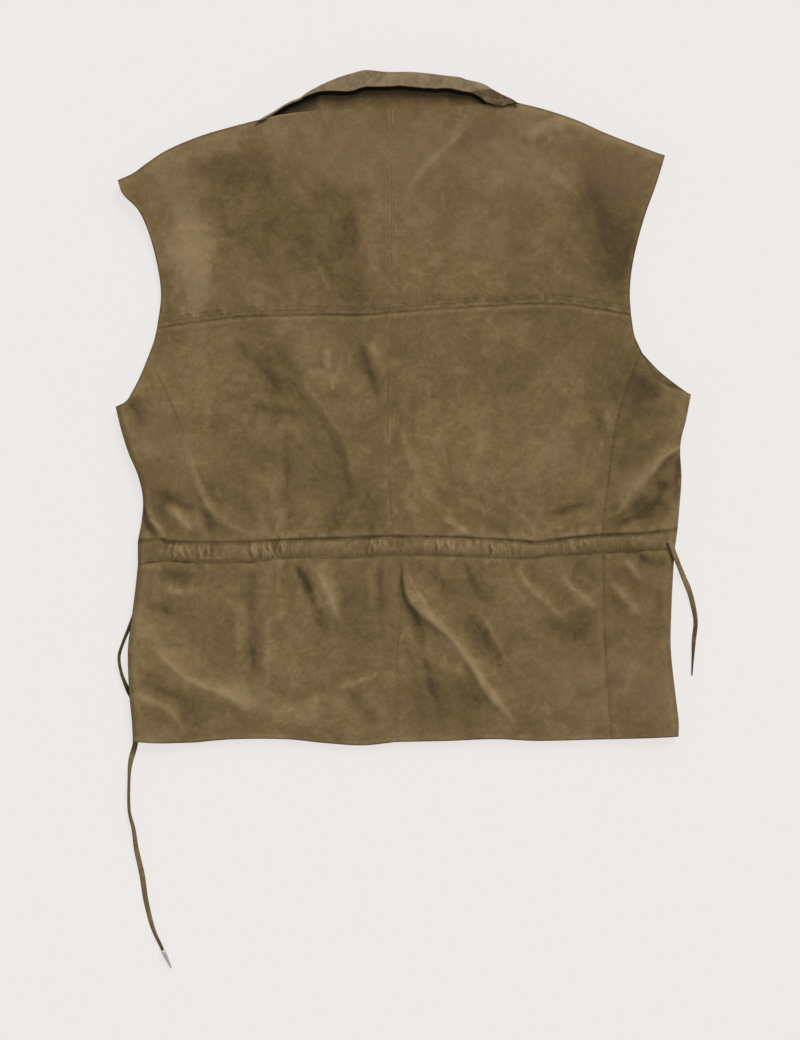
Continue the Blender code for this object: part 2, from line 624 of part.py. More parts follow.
def add_collar_back(group):
    """Stand and fall of the collar, from one neck point to the other."""
    seam = edge(("neck_left", NECK_SPANS), ("neck_right", NECK_SPANS))
    shares = np.linspace(0, 1, len(seam))
    fold = at_fractions(CURVES["collar_fold"], shares)
    lip = at_fractions(CURVES["collar_fall"], shares)
    width = np.linalg.norm(fold - lip, axis=1)
    outward = (fold - lip) / width[:, None]
    reach = np.minimum(COLLAR_ROLL, ROLL_SHARE * width)
    stand_top = fold - outward * (reach + SEAM_GAP)[:, None]

    climb = np.array(STAND_ROWS)[:, None]
    down = climb[:, :, None]
    grid = (1 - down) * seam[None] + down * stand_top[None]
    grid = grid[:, 1:-1]
    move_edge_in(grid, "bottom", SEAM_GAP / 2)
    x = grid[..., 0]
    y = grid[..., 1]
    seam_height = back_top(x, y)[-1][None, :]
    top = (1 - climb) * seam_height + climb * (COLLAR_BASE + WALL)
    top = top - STAND_HOLLOW * climb * (1 - climb)
    outer = np.dstack([x, y, top])
    inner = np.dstack([x, y, top - WALL])
    cloth_wall(group, "collar_stand", outer, inner, finish("collar_stand", SUEDE_SHADE, 0.95))

    crown = np.sin(math.pi * shares)
    near_end = 1.0 - ease(np.minimum(shares, 1 - shares) / COLLAR_END_SHARE)
    low = COLLAR_BASE + COLLAR_END_RISE * near_end
    high = COLLAR_END_TOP + (COLLAR_TOP - COLLAR_END_TOP) * crown ** 0.7
    high = np.maximum(high, low + 2 * WALL + 2 * SEAM_GAP)
    middle = 0.5 * (high + low)
    outer_rows = []
    inner_rows = []
    for across, roll, rise in FALL_OUTSIDE:
        place = lip + outward * (across * width + roll * reach)[:, None]
        outer_rows.append(np.column_stack([place, low + rise * (high - low)]))
    for across, roll, rise, turn in FALL_INSIDE:
        place = lip + outward * (across * width + roll * reach)[:, None]
        height = low + rise * (high - low) + turn * WALL
        height = np.where(turn == 0, middle, height)
        inner_rows.append(np.column_stack([place, height]))
    cloth_wall(group, "collar_fall", np.array(outer_rows), np.array(inner_rows),
               finish("collar_fall", SUEDE_PALE, 0.95))


def add_collar_front(group, hand):
    """Front end of the collar: stand in the neck opening, leaf under the front."""
    stations = np.linspace(LEAF_FROM, LEAF_TO, LEAF_STATIONS)
    line = CURVES["front_neck_" + hand]
    if hand == "right":
        line = line[::-1]
    path = at_fractions(line, stations)
    tangent = np.gradient(path, axis=0)
    tangent /= np.linalg.norm(tangent, axis=1)[:, None]
    turn = 1.0 if hand == "left" else -1.0
    into_neck = turn * np.column_stack([-tangent[:, 1], tangent[:, 0]])
    taper = ease(np.linspace(0.35, 1.6, len(stations)))
    upper = 2 * WALL + SEAM_GAP
    fold = FRONT_STAND
    # Section: distance into the neck opening, height of the outer and inner face
    section = [
        (1.0, upper, 1.0, upper - WALL),
        (fold * 0.5, upper, fold * 0.5, upper - WALL),
        (fold - 3.0, upper, fold - 3.5, upper - WALL),
        (fold - 0.5, upper * 0.78, fold - 1.9, upper * 0.5 + 0.1),
        (fold, upper * 0.5, fold - 1.6, upper * 0.5),
        (fold - 0.5, upper * 0.2, fold - 1.9, upper * 0.5 - 0.1),
        (fold - 3.0, 0.0, fold - 3.5, WALL),
        (fold * 0.3, 0.0, fold * 0.3, WALL),
        (-LEAF_WIDTH * 0.5, 0.0, -LEAF_WIDTH * 0.5, WALL),
        (-LEAF_WIDTH, 0.0, -LEAF_WIDTH, WALL),
    ]
    outer_rows = []
    inner_rows = []
    for out_reach, out_height, in_reach, in_height in section:
        for reach, height, rows in ((out_reach, out_height, outer_rows),
                                    (in_reach, in_height, inner_rows)):
            scaled = reach * (taper if reach < 0 else 1.0)
            place = path + into_neck * np.broadcast_to(scaled, len(path))[:, None]
            rows.append(np.column_stack([place, np.full(len(path), height)]))
    name = "collar_front_" + hand
    cloth_wall(group, name, np.array(outer_rows), np.array(inner_rows),
               finish(name, SUEDE, 0.95))


def add_drawstring(group, name, route):
    """A drawstring end, as a round cord on a smooth route."""
    line = smooth_curve(route, 12)
    count = int(round(lengths_along(line)[-1] / LACE_STEP)) + 1
    points = at_fractions(line, np.linspace(0, 1, count))
    curve = bpy.data.curves.new(name, "CURVE")
    curve.dimensions = "3D"
    curve.bevel_depth = LACE_RADIUS * MM
    curve.bevel_resolution = 2
    curve.use_fill_caps = True
    spline = curve.splines.new("POLY")
    spline.points.add(count - 1)
    for point, place in zip(spline.points, points):
        point.co = (*(place * MM), 1.0)
    cord = bpy.data.objects.new(name, curve)
    curve.materials.append(finish(name, SUEDE, 0.95))
    group.objects.link(cord)


def add_tip(group):
    """Pointed metal tip of the left drawstring, turned about its length."""
    mesh = bpy.data.meshes.new("drawstring_tip")
    work = bmesh.new()
    corners = [work.verts.new((radius * MM, 0.0, -along * MM))
               for along, radius in TIP_PROFILE]
    for first, second in zip(corners[:-1], corners[1:]):
        work.edges.new((first, second))
    work.to_mesh(mesh)
    work.free()
    tip = bpy.data.objects.new("drawstring_tip", mesh)
    group.objects.link(tip)
    turn = tip.modifiers.new("turned", "SCREW")
    turn.steps = TIP_STEPS
    turn.render_steps = TIP_STEPS
    turn.use_merge_vertices = True
    turn.merge_threshold = 0.00001
    turn.use_normal_calculate = True
    top = Vector(TIP_TOP) * MM
    point = Vector(TIP_POINT) * MM
    tip.rotation_mode = "QUATERNION"
    tip.rotation_quaternion = (point - top).to_track_quat("-Z", "X")
    tip.location = top
    mesh.materials.append(finish("drawstring_tip", METAL, 0.25, 1.0))


def main():
    group = start_empty()
    princess_spans = int(round(edge_length("princess_left") / PITCH))
    skirt_rows = int(round(edge_length("skirt_left") / PITCH))
    yoke_rows = graded(edge_length("centre_yoke"), YOKE_PITCH, True, False)
    for hand in ("left", "right"):
        add_yoke(group, hand, yoke_rows)
        add_back(group, hand, princess_spans)
        add_side(group, hand, princess_spans)
        add_skirt(group, hand, skirt_rows)
        add_front(group, hand)
        add_collar_front(group, hand)
    add_channel(group)
    add_collar_back(group)
    add_drawstring(group, "drawstring_left", LACE_LEFT)
    add_drawstring(group, "drawstring_right", LACE_RIGHT)
    add_tip(group)


main()
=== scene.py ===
"""Suede gilet with a drawstring waist, laid flat on its front: the finished looks.

Lengths in the tables are millimetres, and the pieces are built in metres. The back
faces up (+Z) and the collar points to +Y. Left and right are those of the view.
"""
import math

import bpy
import numpy as np
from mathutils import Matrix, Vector


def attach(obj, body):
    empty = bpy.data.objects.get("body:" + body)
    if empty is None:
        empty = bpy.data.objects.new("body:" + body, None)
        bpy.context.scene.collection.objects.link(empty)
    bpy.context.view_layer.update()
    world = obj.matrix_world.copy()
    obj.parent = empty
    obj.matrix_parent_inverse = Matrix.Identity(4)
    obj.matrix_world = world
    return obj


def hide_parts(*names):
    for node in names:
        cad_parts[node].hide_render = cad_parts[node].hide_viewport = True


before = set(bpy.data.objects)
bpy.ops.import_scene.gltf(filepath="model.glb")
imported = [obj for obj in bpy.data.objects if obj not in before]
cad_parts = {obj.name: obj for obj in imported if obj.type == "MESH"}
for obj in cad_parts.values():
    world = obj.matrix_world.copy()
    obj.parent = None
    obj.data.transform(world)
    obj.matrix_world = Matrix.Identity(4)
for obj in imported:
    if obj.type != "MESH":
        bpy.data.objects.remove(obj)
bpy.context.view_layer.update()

MM = 0.001
FAR = 1e9                # farther than anything

# Camera: straight above the middle of the picture
CAMERA_AIM = (-2.9, -101.25)
CAMERA_HEIGHT = 2215.0
CAMERA_LENS = 85.0
CAMERA_SENSOR = 36.0
CAMERA_SEES = (50.0, 20000.0)    # nearest and farthest

# Cloth
WALL = 1.5                # thickness of the suede
STEEPEST = 1.35           # most that a slope thickens the wall, measured upright
PANEL_PITCH = 2.1         # spacing of the points on a back panel
FRONT_PITCH = 5.0         # spacing on the plain fronts
CLOSE_STATIONS = (0.0, 0.3, 0.65, 1.1, 1.8, 2.8, 4.2)   # distances from a panel edge
RIM_ROUND = 0.8           # rounding of every cut edge
SEAM_ROUND = 0.22         # and of the edges that are turned into a seam
THINNEST = 0.14           # share of the wall left at the very edge
SEWN_WALL = 0.97          # and at the edges that are sewn
PANEL_GAP = 0.03          # left between panels that are sewn together
SHARPEST = math.radians(60)    # faces that meet at more than this aren't smoothed

# Height of the layers above the surface
EDGE_LIFT = 5.0           # underside of the fronts along the rolled edges
LIFT_REACH = 22.0         # width over which the fronts come down
LAYER_GAP = 0.3
EDGE_TOP = 8.8            # upper side of the back at its rolled edge
ROLL_RISE = 2.6
ROLL_WIDTH = 7.0
SETTLE = 4.8              # the back comes down this much inside the edge
SETTLE_REACH = 62.0
LEAF_WIDTH = 42.0         # collar leaf under each front
LEAF_MARGIN = 22.0        # the front stays up this far past the leaf
LEAF_RAMP = 14.0          # and comes down on this width
FRONT_STAND = 28.0        # stand of the collar in the front neck opening

# Unevenness of the back, from broad to fine: height, grain, seed
SWELLS = ((0.9, 78.0, 1), (0.45, 34.0, 2))
RIPPLES = ((0.2, 15.0, 3), (0.05, 6.0, 4))

# Seams
SEAM_DIP_WIDTH = 2.6      # a seam pulls the cloth down on this width
ALLOWANCE_RISE = 0.35     # turned seam allowance under the cloth
WAIST_TUCK = 1.3          # lip of the panels over the channel's upper seam
WAIST_TUCK_REACH = 5.5
# Topstitching: distance of each row from its seam
YOKE_ROWS = (4.6, 8.2)
CENTRE_ROW = 2.6

# Drawstring channel
CHANNEL_BULGE = 1.6
CHANNEL_PITCH = 0.95
CHANNEL_ROWS = 26
GATHER_RISE = 0.75

# Collar
COLLAR_TOP = 16.0
COLLAR_END_TOP = 14.5
COLLAR_ROLL = 4.0
COLLAR_BASE = 6.2
COLLAR_END_RISE = 5.8
COLLAR_END_SHARE = 0.09   # part of the fall that slopes down at each end
COLLAR_FRONT_SPAN = (0.14, 0.972)      # part of the front neck line that has a collar

# Laces: flat strips of suede
LACE_WIDTH = 4.8
LACE_THICK = 1.5
LACE_STEP = 1.6
LACE_SIDES = 18

EDGES = {
    "neck_left": [(-127, 259), (-106.5, 263), (-75, 267), (-43.5, 268), (-11, 267.5)],
    "neck_right": [
        (-11, 267.5), (19.5, 267.5), (44, 270.5), (69, 272), (90, 270.5), (103.5, 273.5)],
    "shoulder_left": [
        (-256.5, 204), (-242.5, 210.5), (-229.5, 220), (-211.5, 231.5), (-183, 243.5),
        (-156, 251.5), (-127, 259)],
    "shoulder_right": [
        (103.5, 273.5), (127.5, 267.5), (154.5, 258.5), (181.5, 246.5), (208.5, 236), (235, 226)],
    "armhole_left_yoke": [
        (-256.5, 204), (-251.5, 191), (-238, 177), (-229, 157), (-221.5, 129), (-218, 101),
        (-221.5, 71.5)],
    "armhole_left_back": [(-221.5, 71.5), (-224.5, 59), (-229.5, 45.5)],
    "armhole_left_side": [(-229.5, 45.5), (-236, 29), (-244, 13), (-249.5, 5), (-258.5, 0.5)],
    "armhole_right_yoke": [
        (235, 226), (227.5, 201), (216.5, 169.5), (207.5, 134.5), (204, 106), (205, 83)],
    "armhole_right_back": [(205, 83), (208, 65), (214, 51)],
    "armhole_right_side": [(214, 51), (224, 32), (235.5, 21), (258.5, 11.5)],
    "armhole_right_front": [(214, 51), (230, 34), (242, 24), (258.5, 11.5)],
    "side_left": [
        (-258.5, 0.5), (-254, -18.5), (-247, -41), (-238.5, -61), (-234, -81.5), (-235, -101),
        (-238.5, -120.5)],
    "channel_end_left": [(-238.5, -120.5), (-239, -131), (-238.5, -141.5)],
    "skirt_left": [
        (-238.5, -141.5), (-240.5, -160.5), (-244.5, -193), (-247.5, -218), (-246.5, -254),
        (-244, -281), (-243, -300.5)],
    "side_right": [
        (258.5, 11.5), (254.5, -9.5), (249, -34.5), (250, -63.5), (248, -92), (246.5, -110)],
    "channel_end_right": [(246.5, -110), (245, -119), (244, -127.5)],
    "skirt_right": [
        (244, -127.5), (242.5, -151), (241, -182), (240.5, -218), (245, -260.5), (247.5, -281),
        (247.5, -296)],
    "centre_yoke": [(-11, 267.5), (-11, 187), (-10, 85)],
    "centre_back": [(-10, 85), (-13, 25), (-14, -22), (-12, -74), (-9, -116)],
    "centre_skirt": [(-2, -132.5), (-1.5, -173), (-4.5, -209), (-5.5, -254), (-6.5, -301)],
    "centre_front": [(-4, 190), (-5, 0), (-6.5, -301)],
    "princess_left": [
        (-229.5, 45.5), (-214.5, 16), (-202.5, -20), (-193.5, -61), (-187.5, -97), (-183.5, -122)],
    "princess_right": [
        (214, 51), (201.5, 17.5), (191.5, -16), (185, -61), (180.5, -97), (179.5, -115)],
    "princess_skirt_left": [
        (-182.5, -140), (-186.5, -164), (-189.5, -209), (-189.5, -254), (-188.5, -301.5)],
    "princess_skirt_right": [
        (180, -131), (180.5, -178), (182, -223), (184.5, -259), (187.5, -298.5)],
    "yoke_seam_left": [
        (-221.5, 71.5), (-192, 75.5), (-142.5, 81.5), (-84, 83), (-34.5, 83), (-10, 85)],
    "yoke_seam_right": [(-10, 85), (33, 88.5), (87, 91.5), (136.5, 93), (174.5, 88.5), (205, 83)],
    "waist_side_left": [(-238.5, -120.5), (-222.5, -119), (-201, -121.5), (-183.5, -122)],
    "waist_left": [(-183.5, -122), (-144, -121.5), (-102, -119.5), (-56, -118), (-9, -116)],
    "waist_right": [(-9, -116), (44, -117), (96, -120), (123, -121.5), (150, -118), (179.5, -115)],
    "waist_side_right": [(179.5, -115), (211.5, -114), (246.5, -110)],
    "hip_side_left": [(-238.5, -141.5), (-215.5, -138.5), (-182.5, -140)],
    "hip_left": [(-182.5, -140), (-136, -139.5), (-109, -135.5), (-56, -135.5), (-2, -132.5)],
    "hip_right": [(-2, -132.5), (44, -133.5), (99.5, -136.5), (127.5, -134.5), (180, -131)],
    "hip_side_right": [(180, -131), (211.5, -129), (244, -127.5)],
    "hem_side_left": [(-243, -300.5), (-219, -302), (-188.5, -301.5)],
    "hem_left": [
        (-188.5, -301.5), (-151.5, -298.5), (-106.5, -298.5), (-70.5, -302), (-37, -304),
        (-6.5, -301)],
    "hem_right": [(-6.5, -301), (42, -300), (82.5, -298.5), (123, -300), (187.5, -298.5)],
    "hem_side_right": [(187.5, -298.5), (217.5, -297.5), (247.5, -296)],
    "front_neck_left": [(-127, 259), (-119, 238), (-98, 214), (-60, 196), (-4, 190)],
    "front_neck_right": [(-4, 190), (42, 196), (78, 218), (97, 246), (103.5, 273.5)],
    "collar_fold": [
        (-135, 256.5), (-111, 270.5), (-76.5, 289), (-35.5, 302.6), (1.5, 302.6), (51, 297.5),
        (82.5, 285.5), (103.5, 273.5)],
    "collar_fall": [
        (-130, 258), (-115.5, 266.5), (-95.5, 276), (-76.5, 282), (-48, 286), (-12, 288.5),
        (24, 287.5), (51, 286.5), (63.5, 282.5), (77, 273), (87, 270.5), (99, 272)],
}
# The fall's upper outline and its lip, with their small unevenness
FALL_FOLD = [
    (-131.5, 256.2), (-130.0, 257.0), (-125, 260.3), (-115.6, 265.7), (-108.1, 270.7),
    (-99.7, 275), (-92.7, 277.7), (-86.6, 282.2), (-77.7, 287.2), (-70.8, 290.7), (-61.8, 294.6),
    (-51.7, 298.1), (-43.8, 300.3), (-35.8, 302.4), (-28.8, 302.4), (-16.9, 301.1), (-2.9, 300.9),
    (7, 301), (20.4, 299.8), (35, 298.1), (50.9, 296.2), (56, 294.2), (66.9, 291.9), (73.9, 289.3),
    (79.8, 285.7), (88.8, 280.7), (97.8, 276.2), (103.2, 272.2),
]
FALL_LIP = [
    (-129.9, 256.7), (-124.5, 259.5), (-115.1, 264.8), (-107, 269.4), (-99.4, 273), (-92.7, 275.8),
    (-86.6, 279), (-78.6, 281.7), (-72.7, 282.9), (-63.8, 283.1), (-50.7, 282.7), (-42.7, 284),
    (-38.8, 285.8), (-32.8, 287.2), (-23.8, 287), (-11, 287.4), (-2.9, 287.9), (7, 287),
    (21.1, 285.8), (29.1, 285.2), (38, 285.8), (44.9, 284.7), (52.9, 283.1), (60.8, 281.7),
    (68.9, 277.7), (73.9, 273.7), (76.9, 272.4), (83.9, 270.7), (89.8, 270), (93.9, 271.2),
    (98.5, 271.6),
]
# The right end of the fall is turned down below this line
FACET_START = (60.8, 282.3)
FACET_SLOPE = 0.16
ROLLED_LEFT = ("side_left", "channel_end_left", "skirt_left")
ROLLED_RIGHT = ("side_right", "channel_end_right", "skirt_right")
SHOULDERS = ("shoulder_left", "shoulder_right")
YOKE_SEAM = ("yoke_seam_left", "yoke_seam_right")
WAIST = ("waist_side_left", "waist_left", "waist_right", "waist_side_right")
HIP = ("hip_side_left", "hip_left", "hip_right", "hip_side_right")

# Creases: points of the line (x, y), half width on the left and on the right of the
# way it runs, height (a hollow is negative)
CREASES = [
    ([(-83, 214), (-62, 186), (-42, 160), (-38, 128)], 11, 11, -0.65),
    ([(-214, 214), (-190, 226), (-165, 232), (-136, 232)], 10.8, 10.8, 1),
    ([(-172, 213), (-150, 208), (-114, 203)], 12.4, 12.4, -0.72),
    ([(-200, 176), (-196, 140), (-198, 102)], 14.4, 14.4, 1.2),
    ([(-164, 184), (-160, 158), (-156, 126)], 12.4, 12.4, -0.72),
    ([(-135, 152), (-126, 135), (-114, 121)], 6.9, 6.9, -0.5),
    ([(-78, 142), (-66, 122), (-56, 102), (-43, 87)], 4.8, 8.3, -0.79),
    ([(-84, 138), (-72, 118), (-62, 98)], 6, 3.6, 0.7),
    ([(72, 270), (49, 245), (29, 225), (12, 206), (-5, 178)], 4.8, 7.2, 1.3),
    ([(32, 254), (19, 230), (4, 202)], 8.3, 5.5, -0.72),
    ([(59, 266), (47, 248), (34, 228)], 4.2, 4.8, 0.8),
    ([(62, 264), (41, 239), (25, 221)], 3, 3.4, -0.5),
    ([(103, 230), (119, 233), (137, 232)], 5.5, 6.9, -0.72),
    ([(130, 243), (143, 244), (158, 250)], 5.5, 6.9, -0.72),
    ([(105, 243), (128, 249), (150, 257)], 6, 7.2, 1),
    ([(126, 215), (146, 200), (168, 180)], 6, 9.6, 1),
    ([(156, 212), (174, 192), (188, 156), (192, 124), (198, 96)], 16.6, 20.7, -1.22),
    ([(153, 180), (160, 169), (168, 155)], 5.5, 6.9, -0.58),
    ([(150, 148), (164, 133), (177, 114)], 7.2, 6, 0.8),
    ([(130, 126), (148, 117), (166, 108)], 7.2, 7.2, 0.7),
    ([(-110, 32), (-92, 10), (-77, -8), (-60, -36), (-51, -67), (-47, -90),
     (-42, -112)], 4.5, 10.5, -0.79),
    ([(-101, 34), (-70, -3), (-52, -33), (-44, -66), (-40, -92)], 7.8, 3.9, 0.8),
    ([(-44, 66), (-38.9, 54.5), (-28.5, 27), (-21.6, -1), (-15, -20)], 6, 9, -0.79),
    ([(-34, 62), (-25, 44), (-18, 26)], 6.5, 5.2, 0.6),
    ([(-156, 68), (-138, 46), (-118, 24), (-98, 2)], 9, 13.5, -0.72),
    ([(-120, 60), (-106, 46), (-88, 20)], 7.5, 9, -0.5),
    ([(-142, 6), (-122, -2), (-98, -4), (-84, -1)], 6, 7.5, -0.79),
    ([(-140, 14), (-120, 6), (-92, 5)], 6.5, 5.2, 0.5),
    ([(-105, -18), (-104, -60), (-103, -90), (-101, -118)], 6, 6, -0.58),
    ([(-69, 54), (-67, 43), (-66, 33)], 3.9, 3.9, 0.7),
    ([(-194, -36), (-183, -68), (-172, -92), (-155, -106), (-124, -118)], 9.1, 5.2, 1.4),
    ([(-187, -50), (-178, -72), (-165, -92)], 6, 6, -0.79),
    ([(-189, -74), (-178, -96), (-171, -118)], 6, 6, -0.86),
    ([(-216, -86), (-199, -101), (-184, -117)], 8, 6, 2.9),
    ([(-226, -74), (-203, -86), (-184, -95)], 6.9, 6.9, -1.37),
    ([(-233, -70), (-228, -97), (-212, -119)], 4, 3, 3.2),
    ([(-238, -82), (-233, -103), (-221, -118)], 4, 3, -2.6),
    ([(-246, 10), (-241, -4), (-230, -22)], 9.2, 8, -1.01),
    ([(-66, -115), (-52, -104), (-36, -90)], 5.2, 6.5, 1),
    ([(-78, -116), (-66, -110), (-54, -105)], 6, 6, -0.65),
    ([(-124, -60), (-117, -84), (-112, -110)], 10.4, 6.5, 0.6),
    ([(-90, -70), (-84, -96), (-82, -116)], 13, 10.4, 0.7),
    ([(-14, -10), (-14.5, -40), (-14, -76)], 3.9, 3.9, 0.5),
    ([(65, 74), (77, 37), (89, -1), (101, -30)], 3.1, 3.1, 0.2),
    ([(61, 74), (73, 37), (85, -1), (96, -30)], 4.4, 2.9, -0.14),
    ([(74, 66), (100, 36), (118, 0)], 4.4, 4.4, -0.14),
    ([(-5, 8), (10, -35), (27, -70), (60, -112)], 5.8, 4.4, -0.29),
    ([(-9, 0), (3, -38), (19, -74), (48, -111)], 6.2, 5, 0.5),
    ([(12, -12), (30, -42), (48, -70), (82, -91), (118, -112)], 5.8, 4.4, -0.29),
    ([(34, -70), (52, -88), (76, -104), (92, -115)], 4.4, 4.4, -0.29),
    ([(20, -50), (38, -72), (66, -90), (100, -110)], 5, 5, 0.4),
    ([(34, -96), (49, -107), (62, -115)], 3.8, 4.4, 1.1),
    ([(104, -94), (115, -108), (122, -116)], 2.8, 2.8, 0.7),
    ([(112, -92), (121, -104), (128, -114)], 3.6, 3.6, -0.36),
    ([(120, -115), (150, -105), (182, -94)], 7.5, 7.5, 1.1),
    ([(126, -100), (147, -92), (178, -83)], 7.1, 7.1, -0.65),
    ([(164, 24), (173, -7), (182, -34)], 7.1, 10.1, -0.65),
    ([(182, 0), (185, -14), (189, -28)], 4, 4, 1),
    ([(253, -31), (235, -42), (217, -63), (200, -84), (186, -102)], 5, 9, 3.4),
    ([(238, -62), (226, -84), (210, -106)], 9, 9, -2.4),
    ([(247, -44), (245, -68), (243, -90)], 4.6, 5.8, -1.3),
    ([(204, 34), (216, 18), (228, 0)], 9.2, 9.2, -1.15),
    ([(200, -8), (214, -20), (226, -30)], 8, 7, 1.2),
    ([(-220, -145), (-203, -151), (-186, -155)], 6.3, 7.6, -1.15),
    ([(-218, -163), (-200, -166), (-182, -163)], 6.6, 6.6, 1.3),
    ([(-234, -177), (-219, -181), (-204, -187)], 6.3, 6.3, -0.79),
    ([(-230, -206), (-210, -230), (-190, -246), (-160, -258), (-126, -276)], 7.7, 11, 2.3),
    ([(-243, -244), (-214, -256), (-193, -270), (-184, -296)], 8.9, 8.9, -1.08),
    ([(-247, -258), (-224, -265), (-206, -276), (-196, -298)], 5.5, 6.6, 1.6),
    ([(-134, -140), (-137, -168), (-136.5, -200), (-136, -225), (-133, -254)], 6.3, 6.3, -1.15),
    ([(-123, -186), (-122, -221), (-125, -248)], 6.6, 6.6, 1.2),
    ([(-150, -170), (-148, -196), (-149, -226)], 7.7, 6.6, 0.8),
    ([(-99, -136), (-92, -150), (-84, -169), (-75, -190), (-68, -214)], 4.4, 5.5, -2),
    ([(-87, -139), (-72, -156), (-62, -180), (-55, -204)], 7.7, 6.6, 1.7),
    ([(-104, -136), (-108, -150), (-112, -168)], 5.1, 5.1, -0.65),
    ([(-114, -150), (-110, -175), (-108, -198)], 5.5, 4.4, 0.8),
    ([(-122, -258), (-112, -252), (-98, -245)], 6.3, 6.3, -0.65),
    ([(-23, -138), (-20, -165), (-18, -192)], 4.5, 4.5, -0.86),
    ([(-32, -140), (-29, -162), (-30, -186)], 5.5, 4.4, 0.8),
    ([(-62, -255), (-42, -247), (-20, -239)], 2.8, 3.3, 0.8),
    ([(-52, -254), (-38, -270), (-25, -295)], 7.6, 7.6, -0.86),
    ([(-78, -256), (-78.5, -262), (-79, -269)], 2.2, 2.2, 0.8),
    ([(-71, -257), (-70.5, -262), (-70, -268)], 2.2, 2.2, 0.7),
    ([(-130, -272), (-100, -272), (-66, -268)], 13.2, 13.2, 1),
    ([(-2, -134), (-1, -166), (9, -187), (17, -208), (16, -226)], 3.3, 5, -2.2),
    ([(15, -210), (20, -228), (27, -256), (34, -280)], 3.8, 5.1, -0.94),
    ([(0, -134), (4, -166), (16, -184), (41, -204), (61.5, -232), (75, -256), (96, -280),
     (116, -303)], 11, 3.4, 3.7),
    ([(20, -144), (34, -158), (46, -174)], 6.3, 6.3, -0.79),
    ([(54, -138), (60, -152), (67, -168), (73, -182)], 3.8, 5.1, -0.86),
    ([(58, -182), (75, -210), (96, -242)], 12.6, 8.9, -1.15),
    ([(71, -186), (82, -206), (97, -238)], 2.8, 3.3, 1),
    ([(28, -226), (42, -234), (56, -238)], 7.7, 6.6, 0.9),
    ([(100, -136), (110, -157), (131, -178), (152, -198)], 5.5, 5.5, 1.4),
    ([(136, -144), (155, -165), (180, -184)], 5.5, 6.6, 1.6),
    ([(148, -138), (162, -148), (177, -158)], 6.3, 6.3, -0.65),
    ([(122, -190), (148, -202), (178, -206)], 11.4, 11.4, -0.86),
    ([(148, -266), (167, -258), (184, -248), (204, -240)], 6.3, 7.6, -0.86),
    ([(128, -278), (148, -281), (166, -275)], 8.9, 8.9, -0.65),
    ([(199, -134), (206, -146), (216, -158)], 4.4, 4.4, 1.4),
    ([(210, -135), (224, -140), (240, -140)], 6.3, 5.1, -1.15),
    ([(183, -152), (200, -172), (216, -190)], 5.5, 6.6, 1.5),
    ([(187, -168), (194, -180), (202, -192)], 5.1, 5.1, -0.58),
    ([(225, -156), (230, -190), (229, -220)], 10.1, 10.1, -0.94),
    ([(196, -266), (202, -246), (213, -226)], 7.7, 7.7, 1.2),
]

# Upper and lower side of the channel: y, way out of it
CHANNEL_SIDES = ((-116.5, 1), (-137.5, -1))
# Gathers along the channel: from x, to x, number, strength
GATHERS = [
    (-238, -214, 2, 0.5), (-214, -200, 2, 1.1), (-200, -181, 5, 1.2), (-181, -172, 2, 1.5),
    (-172, -136, 2, 0.5), (-136, -119, 5, 1.2), (-119, -104, 4, 1.7), (-104, -92, 2, 0.9),
    (-92, -30, 4, 0.6), (-30, -8, 5, 1.5), (-8, 30, 4, 0.5), (30, 46, 4, 1.0), (46, 62, 2, 0.6),
    (62, 94, 9, 1.3), (94, 134, 4, 0.6), (134, 150, 3, 0.9), (150, 168, 5, 1.2),
    (168, 186, 2, 0.7), (186, 242, 4, 0.45),
]

# Route of each lace: x, y. Its height follows from how it is turned.
LACE_RIGHT = [
    (238.5, -119.5), (241, -125.5), (244, -133.5), (248, -142.5), (252.5, -152.5), (258, -166),
    (261.5, -180), (263.5, -194), (262, -209), (261, -224.5), (260, -241.5),
]
LACE_LEFT = [
    (-236, -131), (-236.5, -148), (-238, -164), (-241.5, -184), (-247, -198.5), (-252.5, -212),
    (-256, -224.5), (-254, -239), (-248.5, -253.5), (-243, -265), (-240.5, -281), (-241.5, -302),
    (-245.5, -318), (-247, -333.5), (-247, -362), (-243, -380), (-240.5, -398), (-235.5, -421),
    (-232, -444), (-225.5, -469.5), (-216.6, -488.7),
]
# Height of the right lace where it comes down from the channel: share, height
LACE_DROP = [(0.0, 13.0), (0.06, 12.6), (0.13, 10.4), (0.2, 5.6), (0.28, 1.6), (1.0, 0.0)]
# How each lace is turned about its own line: share of the length, degrees
TURNS_RIGHT = [(0, 6), (0.16, 20), (0.3, 12), (0.45, -18), (0.58, -38), (0.7, -20),
               (0.85, -50), (1, -70)]
TURNS_LEFT = [(0, 0), (0.1, 10), (0.17, 50), (0.22, 66), (0.31, 68), (0.37, 20),
              (0.43, 0), (0.5, 12), (0.555, 62), (0.6, 70), (0.66, 66), (0.73, 38),
              (0.8, 12), (0.88, -12), (0.95, -28), (1, -30)]
# How dark each lace is along its length, the dark stretches painted shade where it is turned on
# edge: share of the length, mark
SHADES_RIGHT = [(0, 0.7), (0.1, 0.4), (0.3, -0.1), (0.5, 0.2), (0.62, -0.6), (1, -1.4)]
SHADES_LEFT = [(0, -0.2), (0.16, -0.6), (0.22, -1.7), (0.34, -1.7), (0.42, 0.1), (0.52, -0.1),
               (0.57, -0.9), (0.68, -0.7), (0.78, 0.0), (0.84, -0.2), (0.97, -0.3), (1, -1.8)]
# Where the left lace rises to its tip
LACE_RISE = [(0.0, 0.0), (0.955, 0.0), (0.985, 0.5), (1.0, 1.6)]
